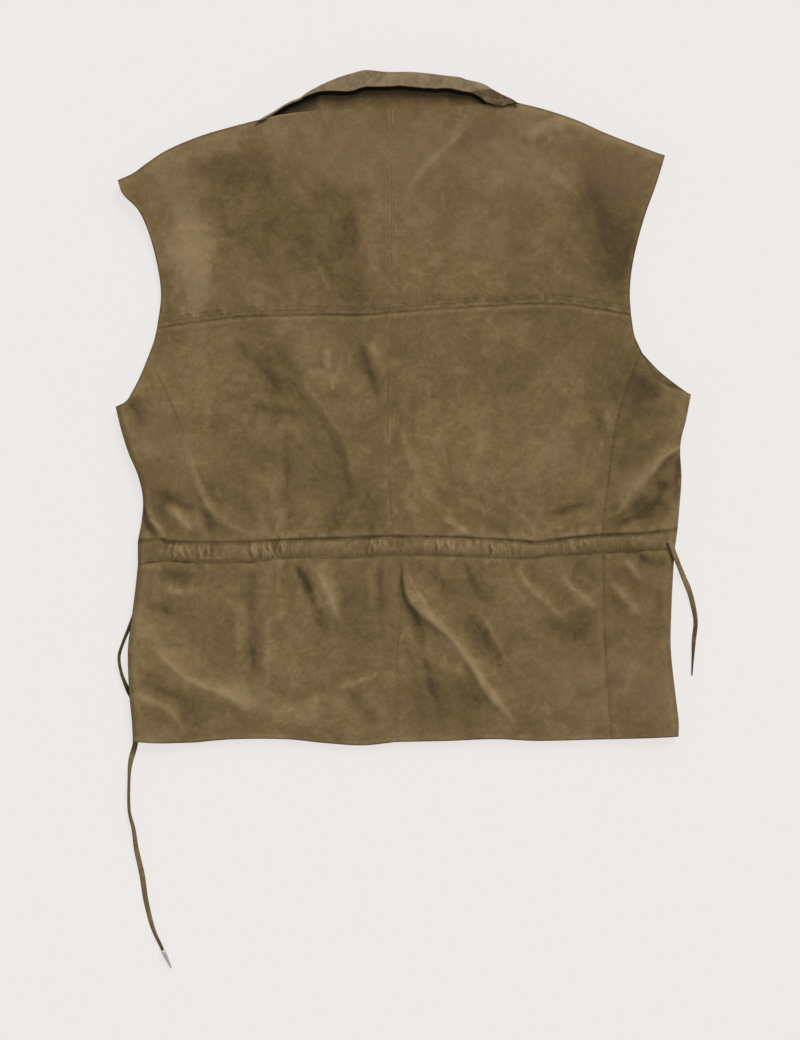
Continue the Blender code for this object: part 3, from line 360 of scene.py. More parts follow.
# Width of each lace along its length: share of the length, share of the full width
WIDTHS_RIGHT = [(0, 0.92), (0.1, 1.0), (0.55, 0.98), (0.72, 0.82), (0.86, 0.66),
                (0.95, 0.5), (1, 0.36)]
WIDTHS_LEFT = [(0, 1.0), (0.5, 1.0), (0.9, 0.95), (0.97, 0.8), (1, 0.72)]
TIP_TOP = (-216.3, -489.4, 3.3)
TIP_POINT = (-209.0, -505.2, 1.7)
# Tip: distance from its top, radius, rounded sheet metal with a rolled mouth
TIP_PROFILE = [(0.9, 1.75), (0.35, 1.95), (0.0, 2.35), (0.12, 2.72), (0.55, 2.92),
               (1.1, 2.9), (1.5, 2.72), (2.0, 2.74), (4.6, 2.6), (8.0, 2.22),
               (11.5, 1.8), (14.5, 1.42), (16.2, 1.16), (17.0, 0.85), (17.4, 0.45),
               (17.5, 0.0)]
TIP_SIDES = 40
# Seam of the rolled metal: depth as a share of the radius, angle, half width
TIP_SEAM = (0.035, 1.35, 0.09)

# Broad changes of tone, partly painted light and shade over the large folds: x, y,
# half length, half width, direction in degrees, lightness (negative is darker), redness
BROAD_TONES = [
    (-190, 142, 58, 17, 92, 1.5, 0.2), (-206, 198, 30, 18, 40, 0.7, 0.75),
    (-150, 212, 34, 17, 0, -0.25, 0.1), (-116, 172, 42, 25, -50, -0.7, -0.1),
    (-44, 138, 52, 11, 95, -1.05, 0.1), (-30, 226, 78, 26, 5, 0.4, 0.5),
    (4, 182, 34, 26, -60, 0.5, 0.45), (112, 216, 46, 26, -15, 1.0, 0.45),
    (135, 246, 30, 10, -25, 0.55, 0.15), (184, 158, 66, 30, -76, -1.1, 0.15),
    (198, 132, 46, 13, -86, -1.1, 0.05), (75, 118, 75, 26, 0, 0.35, -0.3),
    (-72, 55, 62, 15, -56, 0.15, 0.1), (-112, 38, 75, 14, -58, -0.55, 0),
    (-52, -78, 45, 20, -65, -0.7, 0), (-186, 20, 95, 15, 88, 0.4, 0),
    (-124, -78, 36, 12, 75, 0.5, 0), (62, -12, 95, 72, 60, 0.2, -0.1),
    (206, 12, 30, 22, -50, -1.5, 0.2), (190, -30, 30, 14, -70, -0.5, 0),
    (214, -96, 28, 9, 20, -1.0, 0.1), (-239, 2, 14, 8, 28, -1.0, 0),
    (-222, -12, 22, 16, -40, -0.35, 0.3), (-217, -60, 42, 14, 80, -0.9, 0.25),
    (-242, -15, 15, 8, 95, -0.55, 0), (-178, -236, 70, 13, -38, 0.8, 0.15),
    (-75, -252, 75, 24, -3, 0.4, 0), (-72, -165, 32, 12, -70, 0.85, 0),
    (22, -262, 30, 20, 0, -0.45, 0.1), (100, -160, 42, 22, -60, 0.5, 0),
    (152, -196, 28, 13, -10, -0.35, 0.1), (192, -243, 40, 28, 20, 0.2, 0.5),
    (-214, -276, 34, 11, -15, -0.55, 0), (-120, -220, 100, 80, 0, 0.15, 0),
    (140, -236, 34, 24, 0, -0.4, 0.15), (62, -240, 70, 8, -54, 1.0, 0),
    (-60, 91, 90, 6, 3, -0.4, 0.35), (0, 252, 220, 52, 0, 0, 0.28),
    (90, 260, 60, 12, -8, 0.3, 0.2), (205, 222, 70, 40, -20, 0, 0.25),
    (226, -38, 46, 26, -70, -0.45, 0.1), (216, -214, 34, 80, 0, -0.4, 0.15),
    (60, 98, 90, 6, 2, -0.3, 0.25), (-57, -276, 46, 14, 0, 0.8, 0.05),
    (238, -66, 24, 9, 78, -0.8, 0), (194, 204, 36, 18, 20, -0.1, 0.5),
    (208, -64, 26, 11, 50, 0.7, 0.5), (70, 150, 60, 26, 0, 0.05, 0.3),
    (-215, -120, 26, 10, 0, -0.35, 0.1), (168, -128, 70, 8, 2, -0.35, 0),
]

# Fine creases and lines of wear in the nap, many of them painted highlights on crests and painted
# shade in hollows: course, half width, lightness
FINE_LINES = [
    ([(-70.4, 82.4), (-52.4, 83.2), (-31.7, 82.4)], 2, -0.9),
    ([(-154.1, 80.5), (-137.9, 81.5), (-121.7, 86)], 3, -0.5),
    ([(-38.9, 59), (-33.5, 46.4), (-28.1, 26.6), (-24.5, 10.3)], 2.4, -0.8),
    ([(-29.9, 57.1), (-22.7, 44.6), (-17.3, 31.9)], 2.6, 0.5),
    ([(-103.7, 28.4), (-97.4, 19.4), (-91.1, 8.6)], 0.8, -0.9),
    ([(-145.1, 57.1), (-127.1, 37.4), (-107.3, 14)], 5, -0.4),
    ([(-92.9, 46.4), (-85.7, 28.4), (-80.3, 10.3)], 4, -0.4),
    ([(-73.1, 41), (-71.3, 33.8)], 1.6, -0.8),
    ([(-121.7, -16.7), (-110.9, -13.1), (-96.5, -14.8)], 2.4, -0.7),
    ([(-87.5, -137.2), (-69.5, -133.7), (-47.9, -130.1)], 0.8, 0.5),
    ([(65.5, -130.1), (87.1, -133.7), (105.1, -133.7)], 0.8, 0.6),
    ([(-177.5, 188.6), (-163.1, 181.3), (-170.3, 174.2)], 1.2, -0.6),
    ([(-136.1, 145.3), (-130.7, 136.3), (-123.5, 131)], 2.2, -0.6),
    ([(-76.7, 123.8), (-73.1, 118.4), (-70.4, 113)], 0.9, 0.9),
    ([(0.7, -209.2), (7.9, -230.8), (13.3, -254.2)], 2.2, -0.7),
    ([(-52.4, -254.2), (-37.1, -265.1), (-22.7, -286.7)], 3.4, -0.5),
    ([(252.7, -30.2), (246.4, -36.5), (237.4, -42.8), (228.4, -50), (222.1, -61.6)], 1, 3.4),
    ([(250.9, -37.4), (249.1, -49.1), (249.1, -65.2)], 2.6, -2.4),
    ([(243.7, -41), (235.6, -49.1), (226.6, -65.2)], 2, -0.8),
    ([(241.9, -56.2), (244.6, -67), (249.1, -77.9)], 1.2, -0.7),
    ([(105.1, 240.8), (114.1, 237.2), (127.6, 240.8), (137.5, 248)], 1.8, -0.8),
    ([(121.3, 251.6), (132.1, 255.2), (141.1, 251.6)], 1.4, 0.6),
    ([(168.1, 195.8), (173.5, 174.2), (182.5, 141.8), (187.9, 105.8)], 3, -0.5),
    ([(204.1, 10.3), (211.3, 3.1), (218.5, -5.9)], 2, -0.7),
    ([(173.5, 14), (178.9, -2.2), (187.9, -20.2)], 1.4, -0.4),
    ([(241.9, 17.6), (252.7, 12.2), (258.1, 10.3)], 1, 0.6),
    ([(-233.7, -79.7), (-230.6, -88.7), (-227, -99.5), (-218.9, -108.5),
     (-209.9, -119.2)], 0.9, 1.5),
    ([(-232.4, -86.9), (-231.9, -94), (-228.8, -98.5)], 1, -1.6),
    ([(-228.8, -95.9), (-227, -100.4)], 1.5, -2),
    ([(-183.8, -76), (-175.7, -88.7), (-170.3, -95.9), (-168.5, -102.2)], 1.1, 0.8),
    ([(-195.5, -86), (-184.7, -89.5), (-177.5, -96.8), (-173.9, -110.2)], 4, -0.55),
    ([(-227.9, -110.2), (-221.6, -116.5), (-216.2, -118.4), (-211.7, -122),
     (-200.9, -121.4)], 0.9, -1.3),
    ([(-223.4, -107.5), (-218, -113.9), (-212.6, -119.2)], 1.6, 0.8),
    ([(-125.3, -116.5), (-121.7, -118.4)], 2, -1.2),
    ([(-113.6, -113), (-111.8, -119.2), (-110, -126.5)], 1, -1.1),
    ([(-109.1, -111.2), (-107.3, -116.5), (-106.4, -124.7)], 1, 0.9),
    ([(-102.8, -94), (-101.9, -104.9), (-99.2, -115.7)], 1.2, -0.6),
    ([(-79.4, -111.2), (-79, -117.5)], 1, -0.9),
    ([(-76.7, -110.2), (-74.9, -117.5)], 1, 0.6),
    ([(-48.8, -99.5), (-56, -111.2)], 1.4, 0.5),
    ([(-54.2, -105.8), (-58.7, -112)], 1.4, -0.6),
    ([(-236, -141.8), (-226.1, -139.1), (-200.9, -138.2), (-182.9, -140)], 1.1, -1.1),
    ([(-182.9, -138.2), (-157.7, -137.2)], 1, -0.7),
    ([(-152.3, -139.1), (-132.5, -139.1)], 1.1, -0.9),
    ([(-181.1, -135.5), (-161.3, -135.5)], 0.8, 1),
    ([(-96.5, -140), (-92.9, -149.8), (-85.7, -160.7), (-81.2, -173.2)], 2.2, -0.9),
    ([(-105.5, -140), (-108.2, -149.8), (-106.4, -162.5)], 1.2, -0.6),
    ([(-83.9, -148.1), (-76.7, -157.1), (-69.5, -166.1)], 2.4, 0.5),
    ([(108.7, -121), (123.1, -122.9), (137.5, -121)], 1.5, -0.8),
    ([(15.1, -114.8), (33.1, -115.7), (51.1, -116.5)], 0.9, 0.6),
    ([(123.1, -116.5), (141.1, -114.8), (155.5, -113.9)], 1, 0.7),
    ([(33.1, -99.5), (51.1, -108.5), (60.1, -113.9)], 1.5, 0.6),
    ([(29.5, -83.2), (43.9, -95.9)], 1.2, 0.4),
    ([(108.7, -105.8), (115.9, -112), (120.4, -115.7)], 1, 0.8),
    ([(115, -104), (121.3, -111.2), (125.8, -114.8)], 0.9, 0.7),
    ([(137.5, -94), (151.9, -90.5), (168.1, -83.2)], 2.6, -0.6),
    ([(180.7, -99.5), (195.1, -92.2), (209.5, -81.5), (220.3, -70.7)], 2.8, 0.7),
    ([(191.5, -104.9), (213.1, -97.7), (227.5, -101.2)], 2.4, -0.7),
    ([(180.7, -131.8), (200.5, -130.1), (222.1, -128.2)], 1.1, -0.9),
    ([(205.9, -130.1), (211.3, -131.8), (218.5, -137.2)], 2.2, -0.9),
    ([(232.9, -125.5), (241.9, -122)], 1.6, 0.7),
    ([(241, -128.2), (241.9, -134.6), (242.8, -142.7)], 1.4, -1.4),
    ([(-2.9, -142.7), (-2, -155.2), (-4.7, -173.2)], 1.4, -0.6),
    ([(0.7, -139.1), (6.1, -155.2), (18.7, -175.1), (33.1, -194.8)], 1.6, 0.7),
    ([(-4.7, -11.2), (0.7, -25.7), (15.1, -52.6), (33.1, -83.2)], 1, 0.35),
    ([(-65.9, 31.9), (-63.2, 19.4), (-65, 8.6)], 1, 0.9),
    ([(-11, 42.8), (-12.8, -11.2), (-11, -65.2)], 0.8, 0.3),
    ([(-121.7, -20.2), (-100.1, -29.2), (-76.7, -56.2), (-62.3, -83.2)], 1, -0.35),
    ([(-15.5, 273.2), (-13.7, 265.9), (-13.7, 253.3)], 0.8, 0.9),
    ([(-10.1, 269.6), (-9.2, 258.8), (-9.2, 251.6)], 0.8, 0.9),
    ([(-130.7, 256.9), (-114.5, 260.6), (-96.5, 264.2), (-82.1, 266.9)], 0.8, 1.3),
    ([(267.1, -56.2), (258.1, -65.2), (250.9, -79.7)], 1, 0.7),
    ([(254.5, -54.5), (245.5, -70.7), (231.1, -83.2)], 1.2, 0.6),
    ([(-226.1, -40.1), (-220.7, -56.2), (-209.9, -76)], 1.2, 0.35),
    ([(60.1, -230.8), (72.7, -245.2), (87.1, -265.1), (99.7, -283.1)], 1.1, 0.9),
    ([(38.5, -209.2), (51.1, -221.8), (61.9, -234.5)], 1.1, 0.8),
    ([(180.7, -2.2), (178.9, -29.2), (175.3, -56.2)], 0.7, 0.35),
    ([(-228, 38), (-219, 25), (-210, 7), (-201, -16), (-194, -38)], 0.9, -1.0),
]

# Places of wear and stains, and painted shade and highlight along creases and folds, in the
# columns of the broad changes of tone
PATCHES = [
    (-141, 209, 44, 17, -8, -0.6, 0), (-133, 161, 30, 20, 10, -0.6, -0.2),
    (-67, 152, 46, 32, 90, -0.85, -0.2), (-124, 126, 20, 12, -60, -0.35, -0.1),
    (-136, 184, 12, 7, 10, 0.4, 0), (-134, 116, 30, 20, 0, 0.25, 0.25),
    (-191, 138, 42, 24, 88, 0.6, 0.3), (-200, 223, 44, 15, 26, 0.5, 0.15),
    (-91, 243, 55, 20, 4, 0.1, 0.15), (-24, 145, 62, 10, 90, 0.15, 0.15),
    (-80, 116, 10, 6, 40, 0.6, 0), (-45, 104, 16, 8, -60, -0.4, 0),
    (83, 236, 10, 6.5, -20, 0.9, 0.3), (62, 226, 46, 30, -30, 0.35, 0.15),
    (45, 127, 57, 34, 4, 0.3, -0.15), (66, 171, 36, 24, 10, 0.3, 0.3),
    (193, 164, 64, 20, -82, -0.6, 0.05), (170, 184, 34, 15, -52, -0.6, 0),
    (156, 136, 34, 13, -36, -0.5, 0), (130, 244, 30, 13, 8, 0.5, 0),
    (222, 210, 22, 13, 30, 0.25, 0.1), (10, 177, 10, 6, 0, -0.5, -0.1), (26, 132, 9, 7, 0, 0.6, 0),
    (204, 222, 34, 9, -22, -0.4, 0.15), (-184, 10, 44, 32, -60, 0.28, 0),
    (-240, -4, 9, 14, 20, -0.6, 0), (-222, -20, 22, 20, 0, -0.1, 0.3),
    (-215, -67, 26, 17, -50, -0.45, 0.05), (-203, -86, 22, 7, -28, -0.7, 0),
    (-200, -101, 16, 7, -40, 0.6, 0.1), (-176, -70, 18, 4, -62, -0.7, 0),
    (-173, -108, 13, 5, -76, -0.6, 0), (-125, 30, 38, 11, -50, -0.65, -0.05),
    (-124, 18, 20, 14, 0, -0.4, 0), (-110, -3, 22, 4.5, -8, -0.8, 0),
    (-101, 36, 26, 6, -52, -0.5, 0), (-84, 55, 24, 13, -60, 0.2, 0.1),
    (-67.5, 42, 10, 3.5, 78, 0.9, 0.05), (-73.5, 38, 10, 3, 78, -0.4, 0),
    (-60, 23, 12, 7, -30, 0.35, 0), (-31, 28, 34, 5, -66, -0.7, 0), (-26, 44, 16, 5, -65, 0.4, 0),
    (-55, -86, 26, 10, 80, -0.4, 0), (-104, -56, 34, 2.6, 90, -0.5, 0),
    (-117, -80, 30, 9, 84, 0.4, 0), (-131, -100, 14, 10, 0, -0.45, 0),
    (-110, -101, 16, 3.5, 90, 0.5, 0), (-84, -101, 18, 12, 60, 0.35, 0),
    (-61, -113, 12, 5, 30, -0.6, 0), (-95, -40, 14, 22, 0, -0.3, -0.05),
    (58, -20, 26, 20, 90, 0.4, -0.05), (40, 20, 34, 26, 60, 0.15, 0),
    (23, -94, 24, 12, -30, 0.3, 0), (49, -106, 10, 3, -35, 0.9, 0), (100, 76, 20, 8, -24, 0.6, 0),
    (150, -98, 30, 4, 18, 0.5, 0), (146, -92, 16, 5, 18, -0.7, 0), (120, -50, 50, 22, 10, 0.18, 0),
    (162, 58, 46, 22, -20, -0.35, 0.15), (177, -6, 30, 7, -66, -0.6, 0),
    (185, -14, 9, 4, -60, 0.5, 0), (214, 20, 24, 12, -50, -0.7, 0),
    (214, -20, 15, 10, -20, 0.5, 0), (241, -4, 18, 12, -60, 0.3, 0.05),
    (224, -90, 23, 13, 10, -0.8, 0), (218, -86, 26, 20, -35, -0.5, 0),
    (205, -73, 20, 10, 46, 0.4, 0.15), (245, -60, 20, 6, 90, -0.8, 0.1),
    (10, -60, 30, 5, -62, -0.25, 0), (-160, -128, 60, 7, 2, 0.35, 0),
    (60, -125, 110, 6, 0, 0.3, 0), (215, -121, 26, 6, 2, 0.1, 0.15),
    (-228, -128, 14, 9, 0, -0.25, 0), (-203, -151, 16, 6, -6, -1, 0),
    (-201, -165, 15, 5, 2, 0.5, 0), (-219, -181, 13, 4, -10, -0.7, 0),
    (-232, -165, 12, 24, 0, 0, 0.25), (-231, -200, 20, 12, 60, 0.3, 0),
    (-207, -228, 24, 7, -52, 0.85, 0.65), (-212, -258, 30, 10, -26, -0.9, -0.1),
    (-222, -266, 20, 5, -20, 0.4, 0.3), (-203, -280, 16, 5, -50, 0.3, 0.1),
    (-192, -280, 18, 8, -70, -0.7, 0.15), (-228, -284, 18, 9, 0, -0.4, 0),
    (-167, -252, 26, 9, -30, 0.45, 0.05), (-136, -266, 19, 6, -30, 0.6, 0.6),
    (-101, -271, 34, 12, -8, 0.45, 0.05), (-136, -166, 24, 8, 88, -0.6, 0),
    (-136, -225, 30, 4.5, 90, -0.6, 0), (-122, -221, 30, 7, 88, 0.35, 0),
    (-115, -254, 12, 8, 30, -0.6, 0), (-112, -180, 24, 6, 86, 0.25, 0),
    (-84, -170, 34, 6, -66, -0.75, 0), (-68, -153, 24, 12, -42, 0.45, 0),
    (-86, -200, 24, 12, -70, 0, 0.2), (-42, -166, 14, 12, 0, -0.3, 0),
    (-20, -166, 26, 3, 90, -0.7, 0), (-42, -247, 20, 2, 20, 0.5, 0),
    (-40, -268, 16, 9, -46, -0.7, 0.1), (-29, -287, 14, 9, -60, -0.5, 0.15),
    (-30, -215, 30, 16, 0, -0.15, -0.05), (6, -190, 26, 4, -62, -0.8, 0),
    (24, -245, 32, 4, -72, -0.6, 0), (37, -190, 42, 13, -52, 0.5, 0),
    (33, -158, 22, 8, -50, -0.45, 0), (61, -152, 16, 3.4, -65, -0.6, 0),
    (76, -211, 34, 9, -57, -0.9, 0), (79, -201, 26, 1.8, -62, 0.5, 0),
    (34, -231, 18, 6, -20, 0.35, 0), (36, -268, 34, 22, -10, -0.85, 0.05),
    (4, -272, 10, 24, 0, -0.1, 0.25), (113, -280, 26, 14, 10, -0.5, 0),
    (151, -200, 28, 13, -10, -0.75, 0), (165, -148, 18, 12, -20, -0.45, 0),
    (153, -166, 24, 5, -40, 0.5, 0), (113, -159, 18, 4, -52, 0.4, 0),
    (155, -242, 27, 13, 14, 0.35, 0.45), (167, -259, 16, 5, 24, -0.6, 0),
    (148, -280, 14, 8, 10, -0.6, 0), (172, -276, 16, 8, 70, 0.2, 0.3),
    (198, -150, 16, 13, 0, -0.5, 0.1), (206, -145, 13, 4, -45, 0.7, 0.05),
    (228, -140, 16, 7, -10, -0.9, 0), (203, -176, 19, 5, -48, 0.5, 0),
    (228, -190, 34, 11, 90, -0.6, 0), (200, -245, 22, 7, 60, 0.45, -0.05),
    (228, -256, 40, 15, 88, 0.15, 0.4), (96, -290, 20, 5, -50, 0.4, 0.05),
]
# A patch's rim wanders in full from this width, in mm, and never less than a share
LOOSE_WIDTH = 15.0
TIGHTEST = 0.35

# Painted light and shade from the relief, lighter where the cloth stands out and darker in
# hollows: rounds of softening, height of a full mark
CREST = (14, 0.22)
FOLD = (120, 1.1)

# Small scuffs and pale specks: x, y, half length, half width, direction, lightness
SPECKS = [
    (-229, -279, 3.4, 0.6, 38, 2.4), (-111.5, -281.5, 1.0, 0.9, 0, 1.6),
    (-66.8, 38.2, 1.8, 1.3, 60, 1.7), (-48, -277.5, 1.1, 0.8, 0, 1.5),
    (-219, 221, 1.6, 1.4, 0, 1.4), (213.5, 93, 1.2, 1.0, 0, 0.9), (-118, -210, 1.6, 1.2, 20, 0.8),
    (62, -120, 2.0, 0.9, 30, 0.8), (-86, 240, 1.8, 1.2, 0, 0.6), (118, 215, 2.2, 1.0, 40, 0.8),
    (-150, 150, 1.6, 1.0, 10, 0.6), (30, -20, 1.5, 1.1, 60, 0.7), (150, 60, 2.0, 0.8, -30, 0.6),
]

# Topstitching
STITCH_LENGTH = 2.9
STITCH_PITCH = 3.6
STITCH_SINK = 0.02       # how deep a stitch sits in the cloth
THREAD_WIDTH = 0.62

SEED = 7

# Colours, as linear values
SUEDE = (0.151, 0.1035, 0.0425)
SUEDE_LIGHT = (0.270, 0.197, 0.100)
SUEDE_DARK = (0.060, 0.042, 0.016)
SUEDE_RED = (0.205, 0.125, 0.074)
DEEP_SHADE = (0.006, 0.004, 0.002)      # below the collar's lip
# paler suede of the collar: partly its own paler tone, partly painted light on the fall's upturned
# face
COLLAR_TAN = (0.225, 0.168, 0.098)
# cut edges: their own darker colour together with painted shade where the edge turns away
CUT_EDGE_AND_SHADE = (0.060, 0.036, 0.016)
LACE_BROWN = (0.165, 0.112, 0.058)
THREAD = (0.118, 0.086, 0.042)
METAL = (0.72, 0.71, 0.69)
NAP_DEPTH = 0.0005       # relief of the nap and of the tip's scratches, in metres
SCRATCH_DEPTH = 0.0001
FLOOR = (0.80, 0.776, 0.764)
FLOOR_HALF = 2600.0      # from the middle to each side
FLOOR_SHADE = 0.12       # share of its colour that catches shade
FLOOR_GLOW = 7.6         # the table is softly lit from below
PAPER_GRAIN = 1.015      # its finest unevenness

# Light
LIGHT_FROM = (0.42, 0.78)       # direction on the floor that the main light comes from
LIGHT_ELEVATION = 40.0
LIGHT_STRENGTH = 2.9
LIGHT_SOFTNESS = 28.0
LIGHT_COLOUR = (1.0, 0.985, 0.965)
AIR_STRENGTH = 0.46


def add_camera():
    """A camera straight above, with the collar towards the top of the picture."""
    lens = bpy.data.cameras.new("view_from_above")
    lens.lens = CAMERA_LENS
    lens.sensor_width = CAMERA_SENSOR
    lens.sensor_fit = "AUTO"
    lens.clip_start = CAMERA_SEES[0] * MM
    lens.clip_end = CAMERA_SEES[1] * MM
    camera = bpy.data.objects.new("view_from_above", lens)
    camera.location = (CAMERA_AIM[0] * MM, CAMERA_AIM[1] * MM, CAMERA_HEIGHT * MM)
    bpy.context.scene.collection.objects.link(camera)
    bpy.context.scene.camera = camera


def smooth_curve(points, per_span=10):
    """A Catmull-Rom curve through the points, as a dense polyline."""
    knots = np.array(points, dtype=float)
    ends = np.vstack([2 * knots[0] - knots[1], knots, 2 * knots[-1] - knots[-2]])
    steps = np.linspace(0.0, 1.0, per_span, endpoint=False)[:, None]
    spans = []
    for k in range(len(knots) - 1):
        a, b, c, d = ends[k:k + 4]
        spans.append(0.5 * (2 * b + (c - a) * steps
                            + (2 * a - 5 * b + 4 * c - d) * steps ** 2
                            + (3 * b - a - 3 * c + d) * steps ** 3))
    spans.append(knots[-1:])
    return np.vstack(spans)


def lengths_along(line):
    """Distance from the start at each point of a polyline."""
    return np.concatenate([[0.0], np.cumsum(np.linalg.norm(np.diff(line, axis=0), axis=1))])


def shares_of(line):
    """Share of its length at each point of a polyline."""
    along = lengths_along(line)
    return along / along[-1]


def at_fractions(line, fractions):
    """Points at the given shares of a polyline's length."""
    along = lengths_along(line)
    places = np.asarray(fractions, dtype=float) * along[-1]
    return np.column_stack([np.interp(places, along, line[:, k])
                            for k in range(line.shape[1])])


CURVES = {name: smooth_curve(points) for name, points in EDGES.items()}


def joined(*names):
    """Several named edges as one polyline."""
    line = CURVES[names[0]]
    for name in names[1:]:
        line = np.vstack([line, CURVES[name][1:]])
    return line


def edge_length(*names):
    """Length of several named edges together."""
    return sum(lengths_along(CURVES[name])[-1] for name in names)


def corner_shares(*names):
    """Where the named edges meet, as shares of their whole length."""
    lengths = np.array([edge_length(name) for name in names])
    return np.cumsum(lengths)[:-1] / lengths.sum()


def ease(value):
    """Smooth step from 0 to 1."""
    t = np.clip(value, 0.0, 1.0)
    return t * t * (3.0 - 2.0 * t)


def bell(distance, width):
    """A soft bump of height 1 round 0."""
    return np.exp(-(distance / width) ** 2)


def directions(line):
    """Unit direction of a polyline at each of its points."""
    tangent = np.gradient(line, axis=0)
    return tangent / np.linalg.norm(tangent, axis=1)[:, None]


def read_table(shares, table):
    """Values of a table with two columns at the given shares."""
    return np.interp(shares, [row[0] for row in table], [row[1] for row in table])


def within_reach(line, reach, x, y):
    """Which points lie in the box round a line, widened by the reach."""
    low = line.min(axis=0) - reach
    high = line.max(axis=0) + reach
    return (x > low[0]) & (x < high[0]) & (y > low[1]) & (y < high[1])


def to_stretch(start, span, x, y):
    """Nearest place on a straight stretch: the share along it and the distance."""
    off_x = x - start[0]
    off_y = y - start[1]
    share = np.clip((off_x * span[0] + off_y * span[1]) / (span @ span), 0.0, 1.0)
    return share, np.hypot(off_x - share * span[0], off_y - share * span[1])


def distance_to(lines, x, y):
    """Shortest distance from each point to a set of polylines."""
    best = np.full(np.shape(x), FAR)
    for line in lines:
        for start, span in zip(line, np.diff(line, axis=0)):
            best = np.minimum(best, to_stretch(start, span, x, y)[1])
    return best


def beside(line, x, y):
    """Signed distance to a line (positive on its left) and the share along it."""
    along = lengths_along(line)
    best = np.full(np.shape(x), FAR)
    signed = np.zeros(np.shape(x))
    place = np.zeros(np.shape(x))
    for k, span in enumerate(np.diff(line, axis=0)):
        share, gap = to_stretch(line[k], span, x, y)
        side = np.sign(span[0] * (y - line[k][1]) - span[1] * (x - line[k][0]))
        here = (along[k] + share * (along[k + 1] - along[k])) / along[-1]
        nearer = gap < best
        best = np.where(nearer, gap, best)
        signed = np.where(nearer, gap * side, signed)
        place = np.where(nearer, here, place)
    return signed, place


def cloud(x, y, grain, seed):
    """Smooth noise from about -1 to 1 with features of about the given size, in mm."""
    table = np.random.RandomState(SEED * 1000 + seed).uniform(-1, 1, (256, 256))
    u = x / grain + 97.3
    v = y / grain + 61.7
    low_u = np.floor(u).astype(int)
    low_v = np.floor(v).astype(int)
    part_u = ease(u - low_u)
    part_v = ease(v - low_v)
    a = table[low_v % 256, low_u % 256]
    b = table[low_v % 256, (low_u + 1) % 256]
    c = table[(low_v + 1) % 256, low_u % 256]
    d = table[(low_v + 1) % 256, (low_u + 1) % 256]
    upper = a + (b - a) * part_u
    lower = c + (d - c) * part_u
    return upper + (lower - upper) * part_v


ROLLED_LINES = [CURVES[name][::3] for name in ROLLED_LEFT + ROLLED_RIGHT + SHOULDERS]
FRONT_NECK_LINES = [CURVES["front_neck_left"][::4], CURVES["front_neck_right"][::4]]
EDGE_LINES = [CURVES[name][::3] for name in CURVES
              if name.startswith(("armhole_", "shoulder_", "hem_"))]
SIDE_LINES = [CURVES[name][::3] for name in ROLLED_LEFT + ROLLED_RIGHT]


def front_underside(x, y):
    """Height of the fronts' lower face: flat, but up at rolled edges and the leaf."""
    out = distance_to(ROLLED_LINES, x, y)
    lift = EDGE_LIFT * (1.0 - np.minimum(out / LIFT_REACH, 1.0)) ** 2
    neck = distance_to(FRONT_NECK_LINES, x, y)
    leaf = 1.0 - ease((neck - LEAF_WIDTH - LEAF_MARGIN) / LEAF_RAMP)
    return np.maximum(lift, (WALL + LAYER_GAP) * leaf)


def above_fronts(x, y, height):
    """The height, levelled off softly where the cloth would sink into the fronts."""
    lowest = front_underside(x, y) + WALL + LAYER_GAP + WALL * STEEPEST
    room = height - lowest
    return lowest + 0.5 * (room + np.sqrt(room ** 2 + 0.35))


def crease_relief(x, y):
    """Height of all creases, and a mark that paints light on their sharp crests and shade in their
    deep hollows.

    Each crease has a sharper crest or hollow and two unlike flanks.
    """
    height = np.zeros(np.shape(x))
    mark = np.zeros(np.shape(x))
    for row, (points, left, right, rise) in enumerate(CREASES):
        line = smooth_curve(points, 5)
        near = within_reach(line, 3.2 * max(left, right), x, y)
        if not near.any():
            continue
        signed, place = beside(line, x[near], y[near])
        swing = 0.75 * cloud(place * 40.0, np.full(place.shape, row * 13.0), 9.0, 40)
        width = np.where(signed > 0, left, right) * (0.8 + 0.45 * place)
        power = 1.55 if rise > 0 else 1.35
        section = np.exp(-np.abs((signed + swing) / width) ** power)
        fade = ease(place / 0.24) * ease((1.0 - place) / 0.28)
        uneven = 1.0 + 0.22 * cloud(place * 60.0, np.full(place.shape, row * 7.0), 14.0, 41)
        height[near] += rise * fade * section * uneven
        broken = np.clip(0.75 + 0.6 * cloud(place * 90.0, signed * 0 + row, 10.0, 42), 0, 1)
        sharp = np.clip(rise / (3.0 if rise > 0 else 6.0), -0.5, 1.0) * fade * broken
        mark[near] += sharp * bell(signed + swing, 1.4)
    return height, mark


def drag_lines(x, y):
    """Short soft lines that the gathers pull into the cloth above and below."""
    height = np.zeros(np.shape(x))
    chance = np.random.RandomState(SEED)
    for start, end, number, strength in GATHERS:
        for _ in range(max(1, int(number * 0.8))):
            root = chance.uniform(start, end)
            for edge_y, way in CHANNEL_SIDES:
                length = chance.uniform(10, 42)
                lean = chance.uniform(-0.45, 0.45)
                width = chance.uniform(1.3, 3.0)
                rise = chance.choice([-1, 1]) * chance.uniform(0.15, 0.55) * strength
                out = (y - edge_y) * way
                across = x - root - lean * np.maximum(out, 0)
                spread = width * (1.0 + np.maximum(out, 0) / 22.0)
                near = (out > -2) & (out < length) & (np.abs(across) < 3 * spread)
                fade = ease((out + 2) / 6) * ease((length - out) / length)
                height += np.where(near, rise * fade * bell(across, spread), 0.0)
    return height


